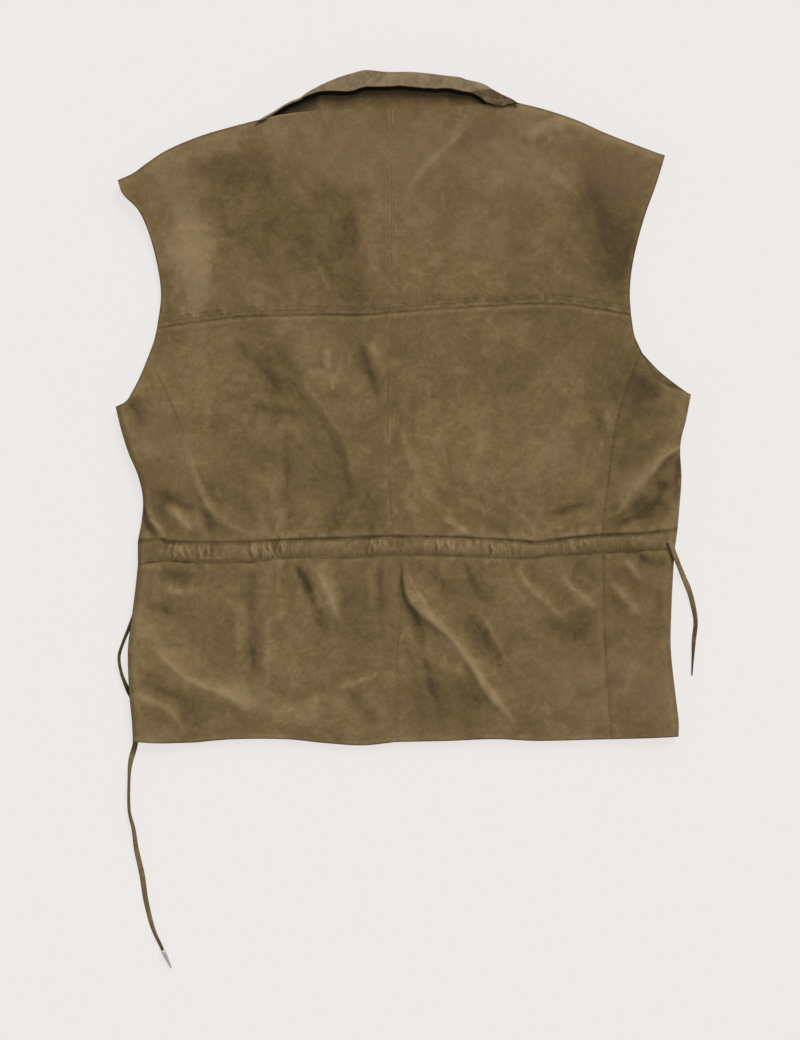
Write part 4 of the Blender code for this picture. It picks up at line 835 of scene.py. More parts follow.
def fine_lines(x, y):
    """How light the fine creases and lines of wear make the cloth, with painted highlights and
    shade along the creases.
    """
    mark = np.zeros(np.shape(x))
    for number, (points, width, lightness) in enumerate(FINE_LINES):
        line = smooth_curve(points, 5)
        near = within_reach(line, 4.0 * width, x, y)
        if not near.any():
            continue
        signed, place = beside(line, x[near], y[near])
        swing = 0.5 * width * cloud(place * 40.0, signed * 0 + number * 9.0, 7.0, 44)
        fade = ease((place + 0.04) / 0.25) * ease((1.04 - place) / 0.25)
        off = np.minimum(place, 1 - place) <= 0.0
        spread = width * (0.7 + 0.5 * place)
        broken = np.clip(0.8 + 0.5 * cloud(place * 90.0, signed * 0 + number, 12.0, 45), 0, 1.2)
        mark[near] += np.where(off, 0.0, lightness * fade * broken
                               * bell(signed + swing, spread))
    return mark


# Seams as seen: curves, depth of their dip, half width of the dark line, how dark,
# how broken, and how light the cloth is beside it; the dark line is partly painted shade
# in the seam's groove, the light beside it painted highlight
SEAMS = [
    (WAIST, 0.0, 2.1, 0.85, 0.6, 0.35),
    (HIP, 0.0, 1.3, 0.4, 1.5, 0.25),
    (YOKE_SEAM, 0.0, 1.0, 0.42, 0.9, 0.16),
    (("princess_left",), 0.2, 0.8, 0.12, 0.9, 0.06),
    (("princess_right",), 0.35, 0.9, 0.62, 0.6, 0.14),
    (("princess_skirt_left",), 0.25, 0.8, 0.14, 0.9, 0.06),
    (("princess_skirt_right",), 0.35, 1.0, 0.75, 0.6, 0.12),
    (("centre_yoke",), 0.0, 0.8, 0.16, 1.0, 0.36),
    (("centre_back",), 0.15, 0.8, 0.2, 1.0, 0.3),
    (("centre_skirt",), 0.15, 0.8, 0.2, 1.0, 0.1),
]


def seam_marks(x, y):
    """Dark seam lines, partly painted shade in their grooves, painted highlight beside them, the
    darker band over the yoke's allowance, and painted light and shade at the edges.
    """
    mark = np.zeros(np.shape(x))
    for number, (names, _, width, dark, broken, light) in enumerate(SEAMS):
        line = joined(*names)[::2]
        near = within_reach(line, 8.0, x, y)
        if not near.any():
            continue
        part_x = x[near]
        part_y = y[near]
        sway = 0.5 * cloud(part_x, part_y, 6.0, 53) + 0.5 * cloud(part_x, part_y, 15.0, 54)
        signed, _ = beside(line, part_x, part_y)
        uneven = 1.0 + broken * (cloud(part_x, part_y, 13.0, 55 + number)
                                 + 0.6 * cloud(part_x, part_y, 4.5, 75 + number))
        uneven = np.clip(uneven, 0.0, 1.5)
        mark[near] -= dark * uneven * bell(signed + sway * 0.5, width)
        mark[near] += light * uneven * bell(np.abs(signed) - width - 1.2, 1.0)
    yoke, _ = beside(joined(*YOKE_SEAM)[::2], x, y)
    allowance = ease((yoke + 0.5) / 1.5) * ease((10.5 - yoke) / 2.0)
    rough = 0.9 * cloud(x, y * 1.6, 3.6, 57) + 0.4 * cloud(x, y, 24.0, 58)
    mark -= allowance * (0.34 + rough)
    # Dark line along armhole, shoulder and hem edges, partly painted shade where the edge turns
    # under; painted highlight just inside them and along the rolled sides
    edge = distance_to(EDGE_LINES, x, y)
    uneven = 1.0 + 0.7 * cloud(x, y, 9.0, 59)
    mark -= 0.9 * uneven * bell(edge - 0.3, 0.7)
    mark += 0.5 * uneven * bell(edge - 2.7, 1.2)
    side = distance_to(SIDE_LINES, x, y)
    mark += 0.5 * uneven * bell(side - 0.8, 0.9)
    return mark


def seam_relief(x, y):
    """Soft channel along every seam and the raised allowance beside the stitched ones."""
    height = np.zeros(np.shape(x))
    for names, dip, *_ in SEAMS:
        if dip > 0:
            gap = distance_to([CURVES[name][::3] for name in names], x, y)
            height -= dip * bell(gap, SEAM_DIP_WIDTH)
            height += 0.3 * dip * bell(gap - 5.0, 2.2)
    yoke, _ = beside(joined(*YOKE_SEAM)[::2], x, y)
    height += ALLOWANCE_RISE * ease((yoke + 0.6) / 2.2) * ease((11.0 - yoke) / 2.5)
    height -= 0.15 * bell(yoke, 1.5)
    for row in YOKE_ROWS:
        height -= 0.15 * bell(yoke - row, 1.0)
    height += 0.4 * bell(yoke + 3.2, 2.0)
    centre, _ = beside(CURVES["centre_yoke"][::2], x, y)
    centre = np.abs(centre)
    height += 0.3 * ease((5.0 - centre) / 1.4) - 0.15 * bell(centre - CENTRE_ROW, 0.8)
    height -= 0.2 * bell(centre, 0.9)
    waist, _ = beside(joined(*WAIST)[::2], x, y)
    tuck = ease((waist + 0.1) / 2.6) * ease((WAIST_TUCK_REACH * 2.2 - waist)
                                            / (WAIST_TUCK_REACH * 1.7))
    level = 0.35 + 0.65 * ease((x + 245.0) / 45.0) * ease((250.0 - x) / 70.0)
    height += WAIST_TUCK * 0.5 * tuck * level * (1.0 + 0.5 * cloud(x, y, 17.0, 50))
    height += 0.5 * bell(waist - 3.0, 3.0) * cloud(x, y * 0.4, 5.0, 52)
    height -= 0.3 * bell(waist, 1.7)
    hip, _ = beside(joined(*HIP)[::2], x, y)
    height -= 0.2 * bell(hip, 2.4) * (1.0 + 0.8 * cloud(x, y, 12.0, 51))
    height += 0.35 * bell(hip + 3.0, 3.0) * cloud(x, y * 0.4, 5.0, 56)
    return height


def back_top(x, y, detail=True):
    """Height of the back's upper face."""
    out = distance_to(ROLLED_LINES, x, y)
    roll = ROLL_RISE * (1.0 - (1.0 - np.minimum(out / ROLL_WIDTH, 1.0)) ** 2)
    settled = SETTLE * ease((out - ROLL_WIDTH) / SETTLE_REACH)
    creases = crease_relief(x, y)[0] * ease(out / 5.0)
    height = EDGE_TOP + roll - settled + creases
    for rise, grain, seed in SWELLS:
        height += rise * cloud(x, y, grain, seed)
    if detail:
        for rise, grain, seed in RIPPLES:
            height += rise * cloud(x, y, grain, seed)
        height += drag_lines(x, y) + seam_relief(x, y) + 0.28 * fine_lines(x, y)
    return above_fronts(x, y, height)


def stations(length, pitch):
    """Shares of a length: close together at both ends, evenly spaced between."""
    close = np.array(CLOSE_STATIONS) / length
    spans = max(2, int(round((1.0 - 2 * close[-1]) * length / pitch)))
    shares = np.concatenate([close, np.linspace(close[-1], 1 - close[-1], spans + 1)[1:-1],
                             1.0 - close[::-1]])
    return shares


def through_corners(shares, corners):
    """The shares moved a little, so that one falls on each corner."""
    if len(corners) == 0:
        return shares
    nearest = [shares[np.argmin(np.abs(shares - corner))] for corner in corners]
    return np.interp(shares, [0.0, *nearest, 1.0], [0.0, *corners, 1.0])


def edge_points(shares, *names):
    """Points of one panel edge, made of the named curves."""
    return at_fractions(joined(*names), through_corners(shares, corner_shares(*names)))


def patch(left, right, top, bottom):
    """Points of a panel between its four edges, rows from the top down."""
    u = 0.5 * (shares_of(top) + shares_of(bottom))[None, :, None]
    v = 0.5 * (shares_of(left) + shares_of(right))[:, None, None]
    across = (1 - v) * top[None] + v * bottom[None]
    down = (1 - u) * left[:, None] + u * right[:, None]
    corners = ((1 - v) * ((1 - u) * top[0] + u * top[-1])
               + v * ((1 - u) * bottom[0] + u * bottom[-1]))
    return across + down - corners


def steps(grid):
    """Distances between neighbours in a grid of points, across and down."""
    across = np.linalg.norm(np.diff(grid, axis=1), axis=2)
    down = np.linalg.norm(np.diff(grid, axis=0), axis=2)
    return across, down


def edge_distances(grid):
    """Distance of each grid point from the left, right, top and bottom edge."""
    across, down = steps(grid)
    from_left = np.hstack([np.zeros((len(grid), 1)), np.cumsum(across, axis=1)])
    from_top = np.vstack([np.zeros((1, grid.shape[1])), np.cumsum(down, axis=0)])
    from_right = from_left[:, -1:] - from_left
    from_bottom = from_top[-1:] - from_top
    return {"left": from_left, "right": from_right, "top": from_top, "bottom": from_bottom}


def move_edge_in(grid, side, amount):
    """Move one edge of a grid towards the panel, square to the edge."""
    rows = {"left": (grid[:, 0], grid[:, 1]), "right": (grid[:, -1], grid[:, -2]),
            "top": (grid[0], grid[1]), "bottom": (grid[-1], grid[-2])}
    row, inner = rows[side]
    tangent = directions(row)
    normal = np.column_stack([-tangent[:, 1], tangent[:, 0]])
    inward = np.sign(np.sum(normal * (inner - row), axis=1))[:, None]
    row += normal * inward * amount


def grid_normals(points):
    """Unit normals of a grid of points, of either sign."""
    normal = np.cross(np.gradient(points, axis=0), np.gradient(points, axis=1))
    return normal / np.maximum(np.linalg.norm(normal, axis=2), 1e-9)[..., None]


def new_piece(name, points, faces):
    """An object with a smooth mesh; its points are given in millimetres."""
    mesh = bpy.data.meshes.new(name)
    mesh.from_pydata((np.reshape(points, (-1, 3)) * MM).tolist(), [], faces)
    mesh.shade_smooth()
    piece = bpy.data.objects.new(name, mesh)
    bpy.context.scene.collection.objects.link(piece)
    return piece


def write_mark(piece, mark, values):
    """Keep one value for each point of a piece under a name."""
    layer = piece.data.attributes.new(mark, "FLOAT", "POINT")
    layer.data.foreach_set("value", np.ravel(values).astype(np.float32))


def shell(name, outer, inner, marks):
    """A closed wall of cloth between two grids, with the marks as point attributes."""
    rows, columns = outer.shape[:2]
    count = rows * columns
    index = np.arange(count).reshape(rows, columns)
    a = index[:-1, :-1].ravel()
    b = index[:-1, 1:].ravel()
    c = index[1:, 1:].ravel()
    d = index[1:, :-1].ravel()
    faces = [np.column_stack([a, d, c, b]), np.column_stack([a, b, c, d]) + count]
    rim = np.concatenate([index[0, :], index[1:, -1], index[-1, -2::-1], index[-2:0:-1, 0]])
    after = np.roll(rim, -1)
    faces.append(np.column_stack([rim, after, after + count, rim + count]))
    faces = np.vstack(faces)
    if np.cross(outer[1, 0] - outer[0, 0], outer[0, 1] - outer[0, 0])[2] < 0:
        faces = faces[:, ::-1]
    piece = new_piece(name, np.stack([outer, inner]), faces.tolist())
    piece.data.set_sharp_from_angle(angle=SHARPEST)
    for mark, values in marks.items():
        write_mark(piece, mark, np.stack([values, values]))
    piece.data.update()
    return piece


def soften(grid, times):
    """Average a grid of values with its neighbours a number of times."""
    value = grid.copy()
    for _ in range(times):
        padded = np.pad(value, 1, mode="edge")
        value = (padded[:-2, 1:-1] + padded[2:, 1:-1] + padded[1:-1, :-2]
                 + padded[1:-1, 2:] + 4 * value) / 8
    return value


def oval(to_x, to_y, long, wide, turn):
    """Squared distance from the middle of a turned oval, 1 on its rim."""
    c = math.cos(math.radians(turn))
    s = math.sin(math.radians(turn))
    return ((to_x * c + to_y * s) / long) ** 2 + ((to_y * c - to_x * s) / wide) ** 2


def patch_marks(x, y):
    """Lightness and redness of the broad tones, of the patches of wear and stains with their
    painted light and shade, and of the specks.
    """
    light = np.zeros(np.shape(x))
    red = np.zeros(np.shape(x))
    sway_x = 7.0 * cloud(x, y, 16.0, 20) + 4.5 * cloud(x, y, 7.0, 21)
    sway_y = 7.0 * cloud(x, y, 16.0, 22) + 4.5 * cloud(x, y, 7.0, 23)
    fray_x = 1.8 * cloud(x, y, 3.4, 24)
    fray_y = 1.8 * cloud(x, y, 3.4, 25)
    for px, py, long, wide, turn, lightness, redness in BROAD_TONES + PATCHES:
        loose = min(1.0, max(TIGHTEST, wide / LOOSE_WIDTH))
        to_x = x + loose * sway_x + fray_x - px
        to_y = y + loose * sway_y + fray_y - py
        share = np.exp(-oval(to_x, to_y, long, wide, turn) ** 1.8)
        light += lightness * share
        red += redness * share
    for px, py, long, wide, turn, lightness in SPECKS:
        light += lightness * np.exp(-oval(x - px, y - py, long, wide, turn))
    return light, red


def standing_out(top, rounds, full):
    """How far each point stands out of the cloth round it, at most 1.5 either way."""
    return np.clip((top - soften(top, rounds)) / full, -1.5, 1.5)


def cloth_marks(x, y, top, rim):
    """Marks that the suede's material reads from the mesh, painted light and shade among them."""
    light, red = patch_marks(x, y)
    line = crease_relief(x, y)[1] + seam_marks(x, y) + fine_lines(x, y)
    return {"crest": standing_out(top, *CREST), "fold": standing_out(top, *FOLD),
            "wear_and_shade": light, "red": red, "rim": rim, "line": line}


def rounded_faces(grid, top, thick, sewn):
    """Outer and inner points of a cloth whose edges are rounded, and its edge marks.

    sewn names the sides that are sewn to other pieces; the others are cut edges.
    """
    share = np.ones(top.shape)
    rim = np.zeros(top.shape)
    for side, inside in edge_distances(grid).items():
        radius = SEAM_ROUND if side in sewn else RIM_ROUND
        least = SEWN_WALL if side in sewn else THINNEST
        turn = np.clip(1.0 - inside / radius, 0.0, 1.0)
        share = np.minimum(share, np.maximum(np.sqrt(1.0 - turn ** 2), least))
        if side not in sewn:
            rim = np.maximum(rim, turn)
    middle = top - thick / 2
    outer = np.dstack([grid[..., 0], grid[..., 1], middle + thick / 2 * share])
    inner = np.dstack([grid[..., 0], grid[..., 1], middle - thick / 2 * share])
    return outer, inner, rim


def lay_panel(name, grid, surface, sewn):
    """A panel whose upper face follows a height function."""
    x = grid[..., 0]
    y = grid[..., 1]
    top = surface(x, y)
    upright = grid_normals(np.dstack([x, y, top]))[..., 2]
    thick = WALL * np.minimum(1.0 / np.maximum(np.abs(upright), 0.05), STEEPEST)
    outer, inner, rim = rounded_faces(grid, top, thick, sewn)
    return shell(name, outer, inner, cloth_marks(x, y, top, rim))


def cut_size(piece, rows, columns):
    """Width, length and area of a panel's cut, measured along its upper face, m."""
    points = np.empty(len(piece.data.vertices) * 3)
    piece.data.vertices.foreach_get("co", points)
    grid = points.reshape(-1, 3)[:rows * columns].reshape(rows, columns, 3)
    across, down = steps(grid)
    cell = (0.5 * (across[:-1] + across[1:])) * (0.5 * (down[:, :-1] + down[:, 1:]))
    return across.sum(axis=1).max(), down.sum(axis=0).max(), cell.sum()


def finish_sheet(piece, node, shape, material):
    """Give a cloth piece its suede, hang it on the root and hide the part it replaces; its cut's
    size is worked out but not used.
    """
    piece.data.materials.append(material)
    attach(piece, "root")
    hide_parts(node)
    width, length, area = cut_size(piece, *shape)
    area = min(area, 0.999 * width * length)


def add_back_panel(name, left, right, top, bottom, sewn, material):
    """One panel of the back from the names of its four edges."""
    width = 0.5 * (edge_length(*top) + edge_length(*bottom))
    height = 0.5 * (edge_length(*left) + edge_length(*right))
    across = stations(width, PANEL_PITCH)
    down = stations(height, PANEL_PITCH)
    grid = patch(edge_points(down, *left), edge_points(down, *right),
                 edge_points(across, *top), edge_points(across, *bottom))
    for side in sewn:
        move_edge_in(grid, side, PANEL_GAP / 2)
    piece = lay_panel(name + "_suede", grid, back_top, sewn)
    finish_sheet(piece, name, grid.shape[:2], material)


# Panels of one half of the back: piece, outer edge, edge towards the centre, upper and
# lower edge, and the sides that are sewn; * stands for left or right
HALF_BACK = (
    ("yoke_*", "armhole_*_yoke", "centre_yoke", "shoulder_* neck_*", "yoke_seam_*",
     "centre bottom top"),
    ("back_*", "armhole_*_back princess_*", "centre_back", "yoke_seam_*", "waist_*",
     "outside centre top bottom"),
    ("side_*", "side_*", "princess_*", "armhole_*_side", "waist_side_*", "centre bottom"),
    ("skirt_back_*", "princess_skirt_*", "centre_skirt", "hip_*", "hem_*",
     "outside centre top"),
    ("skirt_side_*", "skirt_*", "princess_skirt_*", "hip_side_*", "hem_side_*",
     "centre top"),
)


def add_back(materials):
    """The ten panels of the back."""
    for hand, other in (("left", "right"), ("right", "left")):
        on_right = hand == "right"
        words = {"outside": hand, "centre": other}
        for row in HALF_BACK:
            row = [part.replace("*", hand).split() for part in row]
            [name], outside, centre, top, bottom, sewn = row
            left, right = (centre, outside) if on_right else (outside, centre)
            if name.startswith("yoke") and on_right:
                top = top[::-1]
            if name.startswith("side"):
                top = reversed_edge(top[0], on_right)
            sides = [words.get(side, side) for side in sewn]
            add_back_panel(name, left, right, top, bottom, sides,
                           materials["suede"])


def reversed_edge(name, keep):
    """The armhole's lower edge as a curve that runs from left to right."""
    if keep:
        return (name,)
    turned = name + "_turned"
    CURVES[turned] = CURVES[name][::-1]
    return (turned,)


def pucker_height(x, share):
    """Small uneven folds across the channel; share is 0 at its top and 1 at its foot."""
    height = np.zeros(np.shape(x))
    chance = np.random.RandomState(SEED + 4)
    for start, end, number, strength in GATHERS:
        room = (end - start) / number
        for k in range(number):
            root = start + (k + 0.5 + chance.uniform(-0.38, 0.38)) * room
            lean = chance.uniform(-3.2, 3.2)
            bend = chance.uniform(-2.5, 2.5)
            first = chance.uniform(-0.35, 0.35)
            last = chance.uniform(0.5, 1.25)
            width = min(chance.uniform(0.85, 1.7), 0.42 * room + 0.3)
            rise = strength * chance.uniform(0.45, 1.25)
            way = chance.choice([-1.0, 1.0])
            across = x - root - lean * (share - 0.5) - bend * (share - 0.5) ** 2
            fade = ease((share - first) / 0.3) * ease((last - share) / 0.4)
            fold = bell(across, width) - 0.75 * bell(across - way * 1.8 * width, width)
            height += rise * fade * fold
    return height


def add_channel(materials):
    """The drawstring channel: a raised band across the waist, puckered by its gathers."""
    across = stations(edge_length(*WAIST), CHANNEL_PITCH)
    rows = 0.5 * (1 - np.cos(np.linspace(0, math.pi, CHANNEL_ROWS)))
    down = rows[:, None, None]
    grid = (1 - down) * at_fractions(joined(*WAIST), across)[None]
    grid = grid + down * at_fractions(joined(*HIP), across)[None]
    move_edge_in(grid, "top", 0.05)
    move_edge_in(grid, "bottom", 0.05)
    x = grid[..., 0]
    y = grid[..., 1]
    share = np.broadcast_to(rows[:, None], x.shape)
    crown = np.sin(math.pi * share ** 0.9) ** 0.8
    gathers = np.array(GATHERS)
    strength = np.interp(x, 0.5 * (gathers[:, 0] + gathers[:, 1]), gathers[:, 3])
    sway = 1.5 * cloud(x, y * 1.1, 8.0, 30) + 0.8 * cloud(x, y * 1.5, 3.6, 31)
    puckers = GATHER_RISE * pucker_height(x + sway, share) * (0.3 + 0.7 * crown)
    small = 0.3 * cloud(x, y * 0.6, 4.2, 33) * (0.45 + 0.5 * strength)
    small += 0.42 * cloud(x, y * 0.9, 8.0, 35) * (0.5 + 0.4 * strength)
    inside = ease(np.minimum(across, 1 - across) * 40)[None, :]
    low = back_top(x, y, detail=False) - 0.7 + 0.35 * ease((0.25 - share) / 0.25)
    bulge = CHANNEL_BULGE * (1.0 + 0.3 * cloud(x, x * 0, 26.0, 34))
    top = low + (bulge * crown + 0.25) * (0.4 + 0.6 * inside)
    top += (puckers + small * crown) * inside
    stitched = bell((1 - share) * 17.5 - 2.0, 1.1) * (1.0 + 0.8 * np.sin(x * 1.75)
                                                      * (1.0 + cloud(x, y * 0, 9.0, 36)))
    top -= 0.22 * stitched * inside
    top = above_fronts(x, y, top)
    outer, inner, rim = rounded_faces(grid, top, WALL * 1.15, ("top", "bottom"))
    marks = cloth_marks(x, y, top, rim)
    dabs = cloud(x, y * 0.7, 5.0, 37) * cloud(x, y * 0.5, 11.0, 38)
    # Darker along the stitching near the foot and painted shade under the lip at the top; painted
    # light and shade that follow the puckers and small folds, with random dabs
    marks["line"] -= 0.25 * stitched * inside + 0.25 * ease((0.3 - share) / 0.3)
    marks["line"] += (0.55 * puckers + 0.5 * small + 0.3 * dabs) * inside
    piece = shell("channel_suede", outer, inner, marks)
    finish_sheet(piece, "drawstring_channel", grid.shape[:2],
                 materials["suede"])


def add_front(hand, materials):
    """A plain front panel, which the garment lies on."""
    lower, sides = {"left": ("armhole_left_side", ROLLED_LEFT),
                    "right": ("armhole_right_front", ROLLED_RIGHT)}[hand]
    outside = ("armhole_" + hand + "_yoke", "armhole_" + hand + "_back", lower) + sides
    top = ("shoulder_" + hand, "front_neck_" + hand)
    hem = ("hem_side_" + hand, "hem_" + hand)
    left, right = outside, ("centre_front",)
    outer_side, centre_side = "left", "right"
    if hand == "right":
        top, hem = top[::-1], hem[::-1]
        left, right = right, left
        outer_side, centre_side = centre_side, outer_side
    down = stations(edge_length(*outside), FRONT_PITCH)
    across = stations(edge_length(*hem), FRONT_PITCH)
    grid = patch(edge_points(down, *left), edge_points(down, *right),
                 edge_points(across, *top), edge_points(across, *hem))
    margins = ((centre_side, 0.15), (outer_side, 0.35), ("top", 0.5), ("bottom", 2.0))
    for side, margin in margins:
        move_edge_in(grid, side, margin)

    def upper(x, y):
        return front_underside(x, y) + WALL

    piece = lay_panel("front_" + hand + "_suede", grid, upper, ())
    finish_sheet(piece, "front_" + hand, grid.shape[:2],
                 materials["suede_inside"])


def collar_lines(shares):
    """Fold and lip of the fall at the given shares, the way across and its reach."""
    fold = at_fractions(smooth_curve(FALL_FOLD), shares)
    dense = smooth_curve(FALL_LIP)
    lip = fold.copy()
    lip[:, 1] = np.interp(fold[:, 0], dense[:, 0], dense[:, 1])
    lip[:, 1] += 0.3 * cloud(lip[:, 0], lip[:, 1] * 0, 5.0, 63) * np.sin(math.pi * shares)
    thinnest = 0.7 + 1.8 * ease(np.minimum(shares, 1 - shares) / 0.035)
    lip[:, 1] = np.minimum(lip[:, 1], fold[:, 1] - thinnest)
    width = np.linalg.norm(fold - lip, axis=1)
    outward = (fold - lip) / np.maximum(width, 0.01)[:, None]
    return fold, lip, width, outward, np.minimum(COLLAR_ROLL, 0.42 * width)


def add_collar_stand(materials):
    """The stand: from the neck seam up to the roll, hollowed, with painted shadow below the fall.
    """
    neck = ("neck_left", "neck_right")
    shares = through_corners(stations(edge_length(*neck), 2.0), corner_shares(*neck))
    seam = at_fractions(joined(*neck), shares)
    fold, lip, width, outward, reach = collar_lines(shares)
    stand_top = fold - outward * (reach + LAYER_GAP)[:, None]
    rows = np.concatenate([np.linspace(1.0, 0.1, 24), [0.06, 0.03, 0.0]])
    down = rows[:, None, None]
    grid = (1 - down) * seam[None] + down * stand_top[None]
    grid = grid[:, 1:-1]
    move_edge_in(grid, "bottom", PANEL_GAP / 2)
    x = grid[..., 0]
    y = grid[..., 1]
    climb = rows[:, None]
    seam_height = back_top(x, y)[-1][None, :]
    top = (1 - climb) * seam_height + climb * (COLLAR_BASE + WALL) - 1.2 * climb * (1 - climb)
    top += 0.35 * cloud(x, y, 19.0, 60) * np.sin(math.pi * climb)
    over = 1.0 - ease(np.minimum(shares, 1 - shares)[1:-1] / 0.05)[None, :]
    top = (1 - over) * top + over * (seam_height + WALL * 0.6 * climb)
    outer, inner, rim = rounded_faces(grid, top, WALL, ("bottom", "left", "right", "top"))
    marks = cloth_marks(x, y, top, rim)
    # Painted shadow of the fall: near black right below its lip, fading down the stand, deepest at
    # the left end
    below, _ = beside(smooth_curve(FALL_LIP)[::2], x, y)
    below = -below
    shade = 3.4 * ease((2.7 - below) / 1.7) + 1.7 * ease((22.0 - below) / 17.0)
    shade += 0.18 * cloud(x, y, 12.0, 61) + 0.12 * cloud(x, y * 0.4, 5.0, 62)
    shade += 1.1 * ease((-74.0 - x) / 6.0) + 1.6 * ease((-100.0 - x) / 16.0)
    marks.update(line=-shade, crest=marks["crest"] * 0.4, fold=x * 0)
    piece = shell("stand_suede", outer, inner, marks)
    finish_sheet(piece, "collar_stand", grid.shape[:2],
                 materials["suede"])


def add_collar_fall(materials):
    """The fall: rolled over the stand along the upper edge, with a thick soft lip."""
    shares = stations(edge_length("collar_fold"), 1.5)
    fold, lip, width, outward, reach = collar_lines(shares)
    crown = np.sin(math.pi * shares)
    near_end = 1.0 - ease(np.minimum(shares, 1 - shares) / COLLAR_END_SHARE)
    low = COLLAR_BASE + COLLAR_END_RISE * near_end
    high = COLLAR_END_TOP + (COLLAR_TOP - COLLAR_END_TOP) * crown ** 0.7
    high = np.maximum(high, low + 2 * WALL + 2 * LAYER_GAP)
    middle = 0.5 * (high + low)
    # Section: share of the width, reach of the roll, share of the height, which face
    section = [(0.0, 0.0, 0.90), (0.03, 0.0, 0.945), (0.12, 0.0, 0.975), (0.35, 0.0, 1.0),
               (0.7, 0.0, 1.0), (1.0, -1.2, 0.97), (1.0, -0.7, 0.93), (1.0, -0.35, 0.84),
               (1.0, -0.1, 0.68), (1.0, 0.0, 0.5), (1.0, -0.1, 0.3), (1.0, -0.35, 0.12),
               (1.0, -0.7, 0.03), (1.0, -1.0, 0.0)]
    dense = smooth_curve(section, 4)
    outer_rows = []
    for across, roll, rise in dense:
        place = lip + outward * (across * width + roll * reach)[:, None]
        outer_rows.append(np.column_stack([place, low + rise * (high - low)]))
    outer = np.array(outer_rows)
    x = outer[..., 0]
    y = outer[..., 1]
    past_x = x - FACET_START[0]
    facet = ease((FACET_START[1] + past_x * FACET_SLOPE - y + 0.3) / 0.9)
    facet = facet * ease((past_x + 1.5) / 3.0)
    flatness = np.clip(1.0 - np.abs(dense[:, 2] - 1.0)[:, None] * 5, 0.0, 1.0)
    relief = 0.4 * cloud(x, y, 21.0, 70) + 0.3 * cloud(x, y, 8.0, 71)
    relief += 0.16 * cloud(x, y, 4.0, 72)
    outer[..., 2] += flatness * (relief - 0.45 - 1.1 * facet * (1 - near_end[None]))
    turned = np.interp(dense[:, 2], [0.0, 0.45, 0.55, 1.0], [1.0, 0.15, -0.15, -1.0])
    pull = np.interp(np.arange(len(dense)), [0, 20, 32, 36, 40, 52],
                     [0.0, 0.0, -0.35, -0.45, -0.35, 0.0])
    inner = outer.copy()
    inner[..., 2] += (turned * WALL)[:, None]
    inner[..., :2] += outward[None] * (pull[:, None] * reach[None])[..., None]
    inner[..., 2] = np.where(np.abs(turned)[:, None] < 0.2, middle[None], inner[..., 2])
    from_lip = edge_distances(outer)["top"]
    marks = cloth_marks(x, y, outer[..., 2], x * 0)
    marks.update(crest=x * 0, fold=x * 0)
    # Painted light and shade on the fall: a painted highlight just above the lip, painted shade on
    # the roll's far side, on the turned-down right end and at the lip's very edge; the
    # wear_and_shade cloud is mottled tone with a darker band about 14 mm above the lip
    lit = 0.5 * bell(from_lip - 1.2, 1.3) * (1.0 + 0.6 * cloud(x, y, 6.0, 73))
    rolled = ease((0.98 - dense[:, 2]) / 0.12)[:, None] * (np.arange(len(dense)) > 20)[:, None]
    wear_and_shade = cloud(x, y, 7.0, 74) + 0.7 * cloud(x, y, 3.5, 75)
    wear_and_shade -= 0.3 * bell(y - lip[:, 1] - 14.0, 3.0)
    marks["line"] = (lit + 0.3 * wear_and_shade) * (1 - facet) - 0.5 * rolled - 1.5 * facet
    marks["line"] -= 0.7 * facet * ease((x - 92.0) / 10.0)
    marks["line"] -= 1.6 * bell(from_lip, 0.5)
    piece = shell("fall_suede", outer, inner, marks)
    finish_sheet(piece, "collar_fall", outer.shape[:2],
                 materials["collar"])


def add_collar_front(hand, materials):
    """Front end of the collar: stand in the neck opening, leaf under the front."""
    shares = np.linspace(*COLLAR_FRONT_SPAN, 60)
    line = CURVES["front_neck_" + hand]
    if hand == "right":
        line = line[::-1]
    path = at_fractions(line, shares)
    tangent = directions(path)
    turn = 1.0 if hand == "left" else -1.0
    into_neck = turn * np.column_stack([-tangent[:, 1], tangent[:, 0]])
    taper = ease(np.linspace(0.35, 1.6, len(shares)))
    upper = 2 * WALL + LAYER_GAP
    fold = FRONT_STAND
    # Section: distance into the neck opening, height of the outer and inner face
    section = [
        (1.0, upper, 1.0, upper - WALL),
        (fold * 0.5, upper, fold * 0.5, upper - WALL),
        (fold - 3.0, upper, fold - 3.5, upper - WALL),
        (fold - 0.5, upper * 0.78, fold - 1.9, upper * 0.5 + 0.1),
        (fold, upper * 0.5, fold - 1.6, upper * 0.5),
        (fold - 0.5, upper * 0.2, fold - 1.9, upper * 0.5 - 0.1),
        (fold - 3.0, 0.0, fold - 3.5, WALL),
        (fold * 0.3, 0.0, fold * 0.3, WALL),
        (-LEAF_WIDTH * 0.5, 0.0, -LEAF_WIDTH * 0.5, WALL),
        (-LEAF_WIDTH, 0.0, -LEAF_WIDTH, WALL),
    ]
    dense = np.vstack([np.linspace(a, b, 5)[:-1] for a, b in zip(section[:-1], section[1:])]
                      + [section[-1:]])
    outer_rows = []
    inner_rows = []
    for out_reach, out_height, in_reach, in_height in dense:
        for reach, height, rows in ((out_reach, out_height, outer_rows),
                                    (in_reach, in_height, inner_rows)):
            scaled = reach * (taper if reach < 0 else 1.0)
            place = path + into_neck * np.broadcast_to(scaled, len(path))[:, None]
            rows.append(np.column_stack([place, np.full(len(path), height)]))
    outer = np.array(outer_rows)
    inner = np.array(inner_rows)
    level = outer[..., 2] * 0
    marks = cloth_marks(outer[..., 0], outer[..., 1], outer[..., 2], level)
    marks.update(crest=level, fold=level, line=level)
    piece = shell("collar_front_" + hand + "_suede", outer, inner, marks)
    finish_sheet(piece, "collar_front_" + hand, outer.shape[:2],
                 materials["collar"])


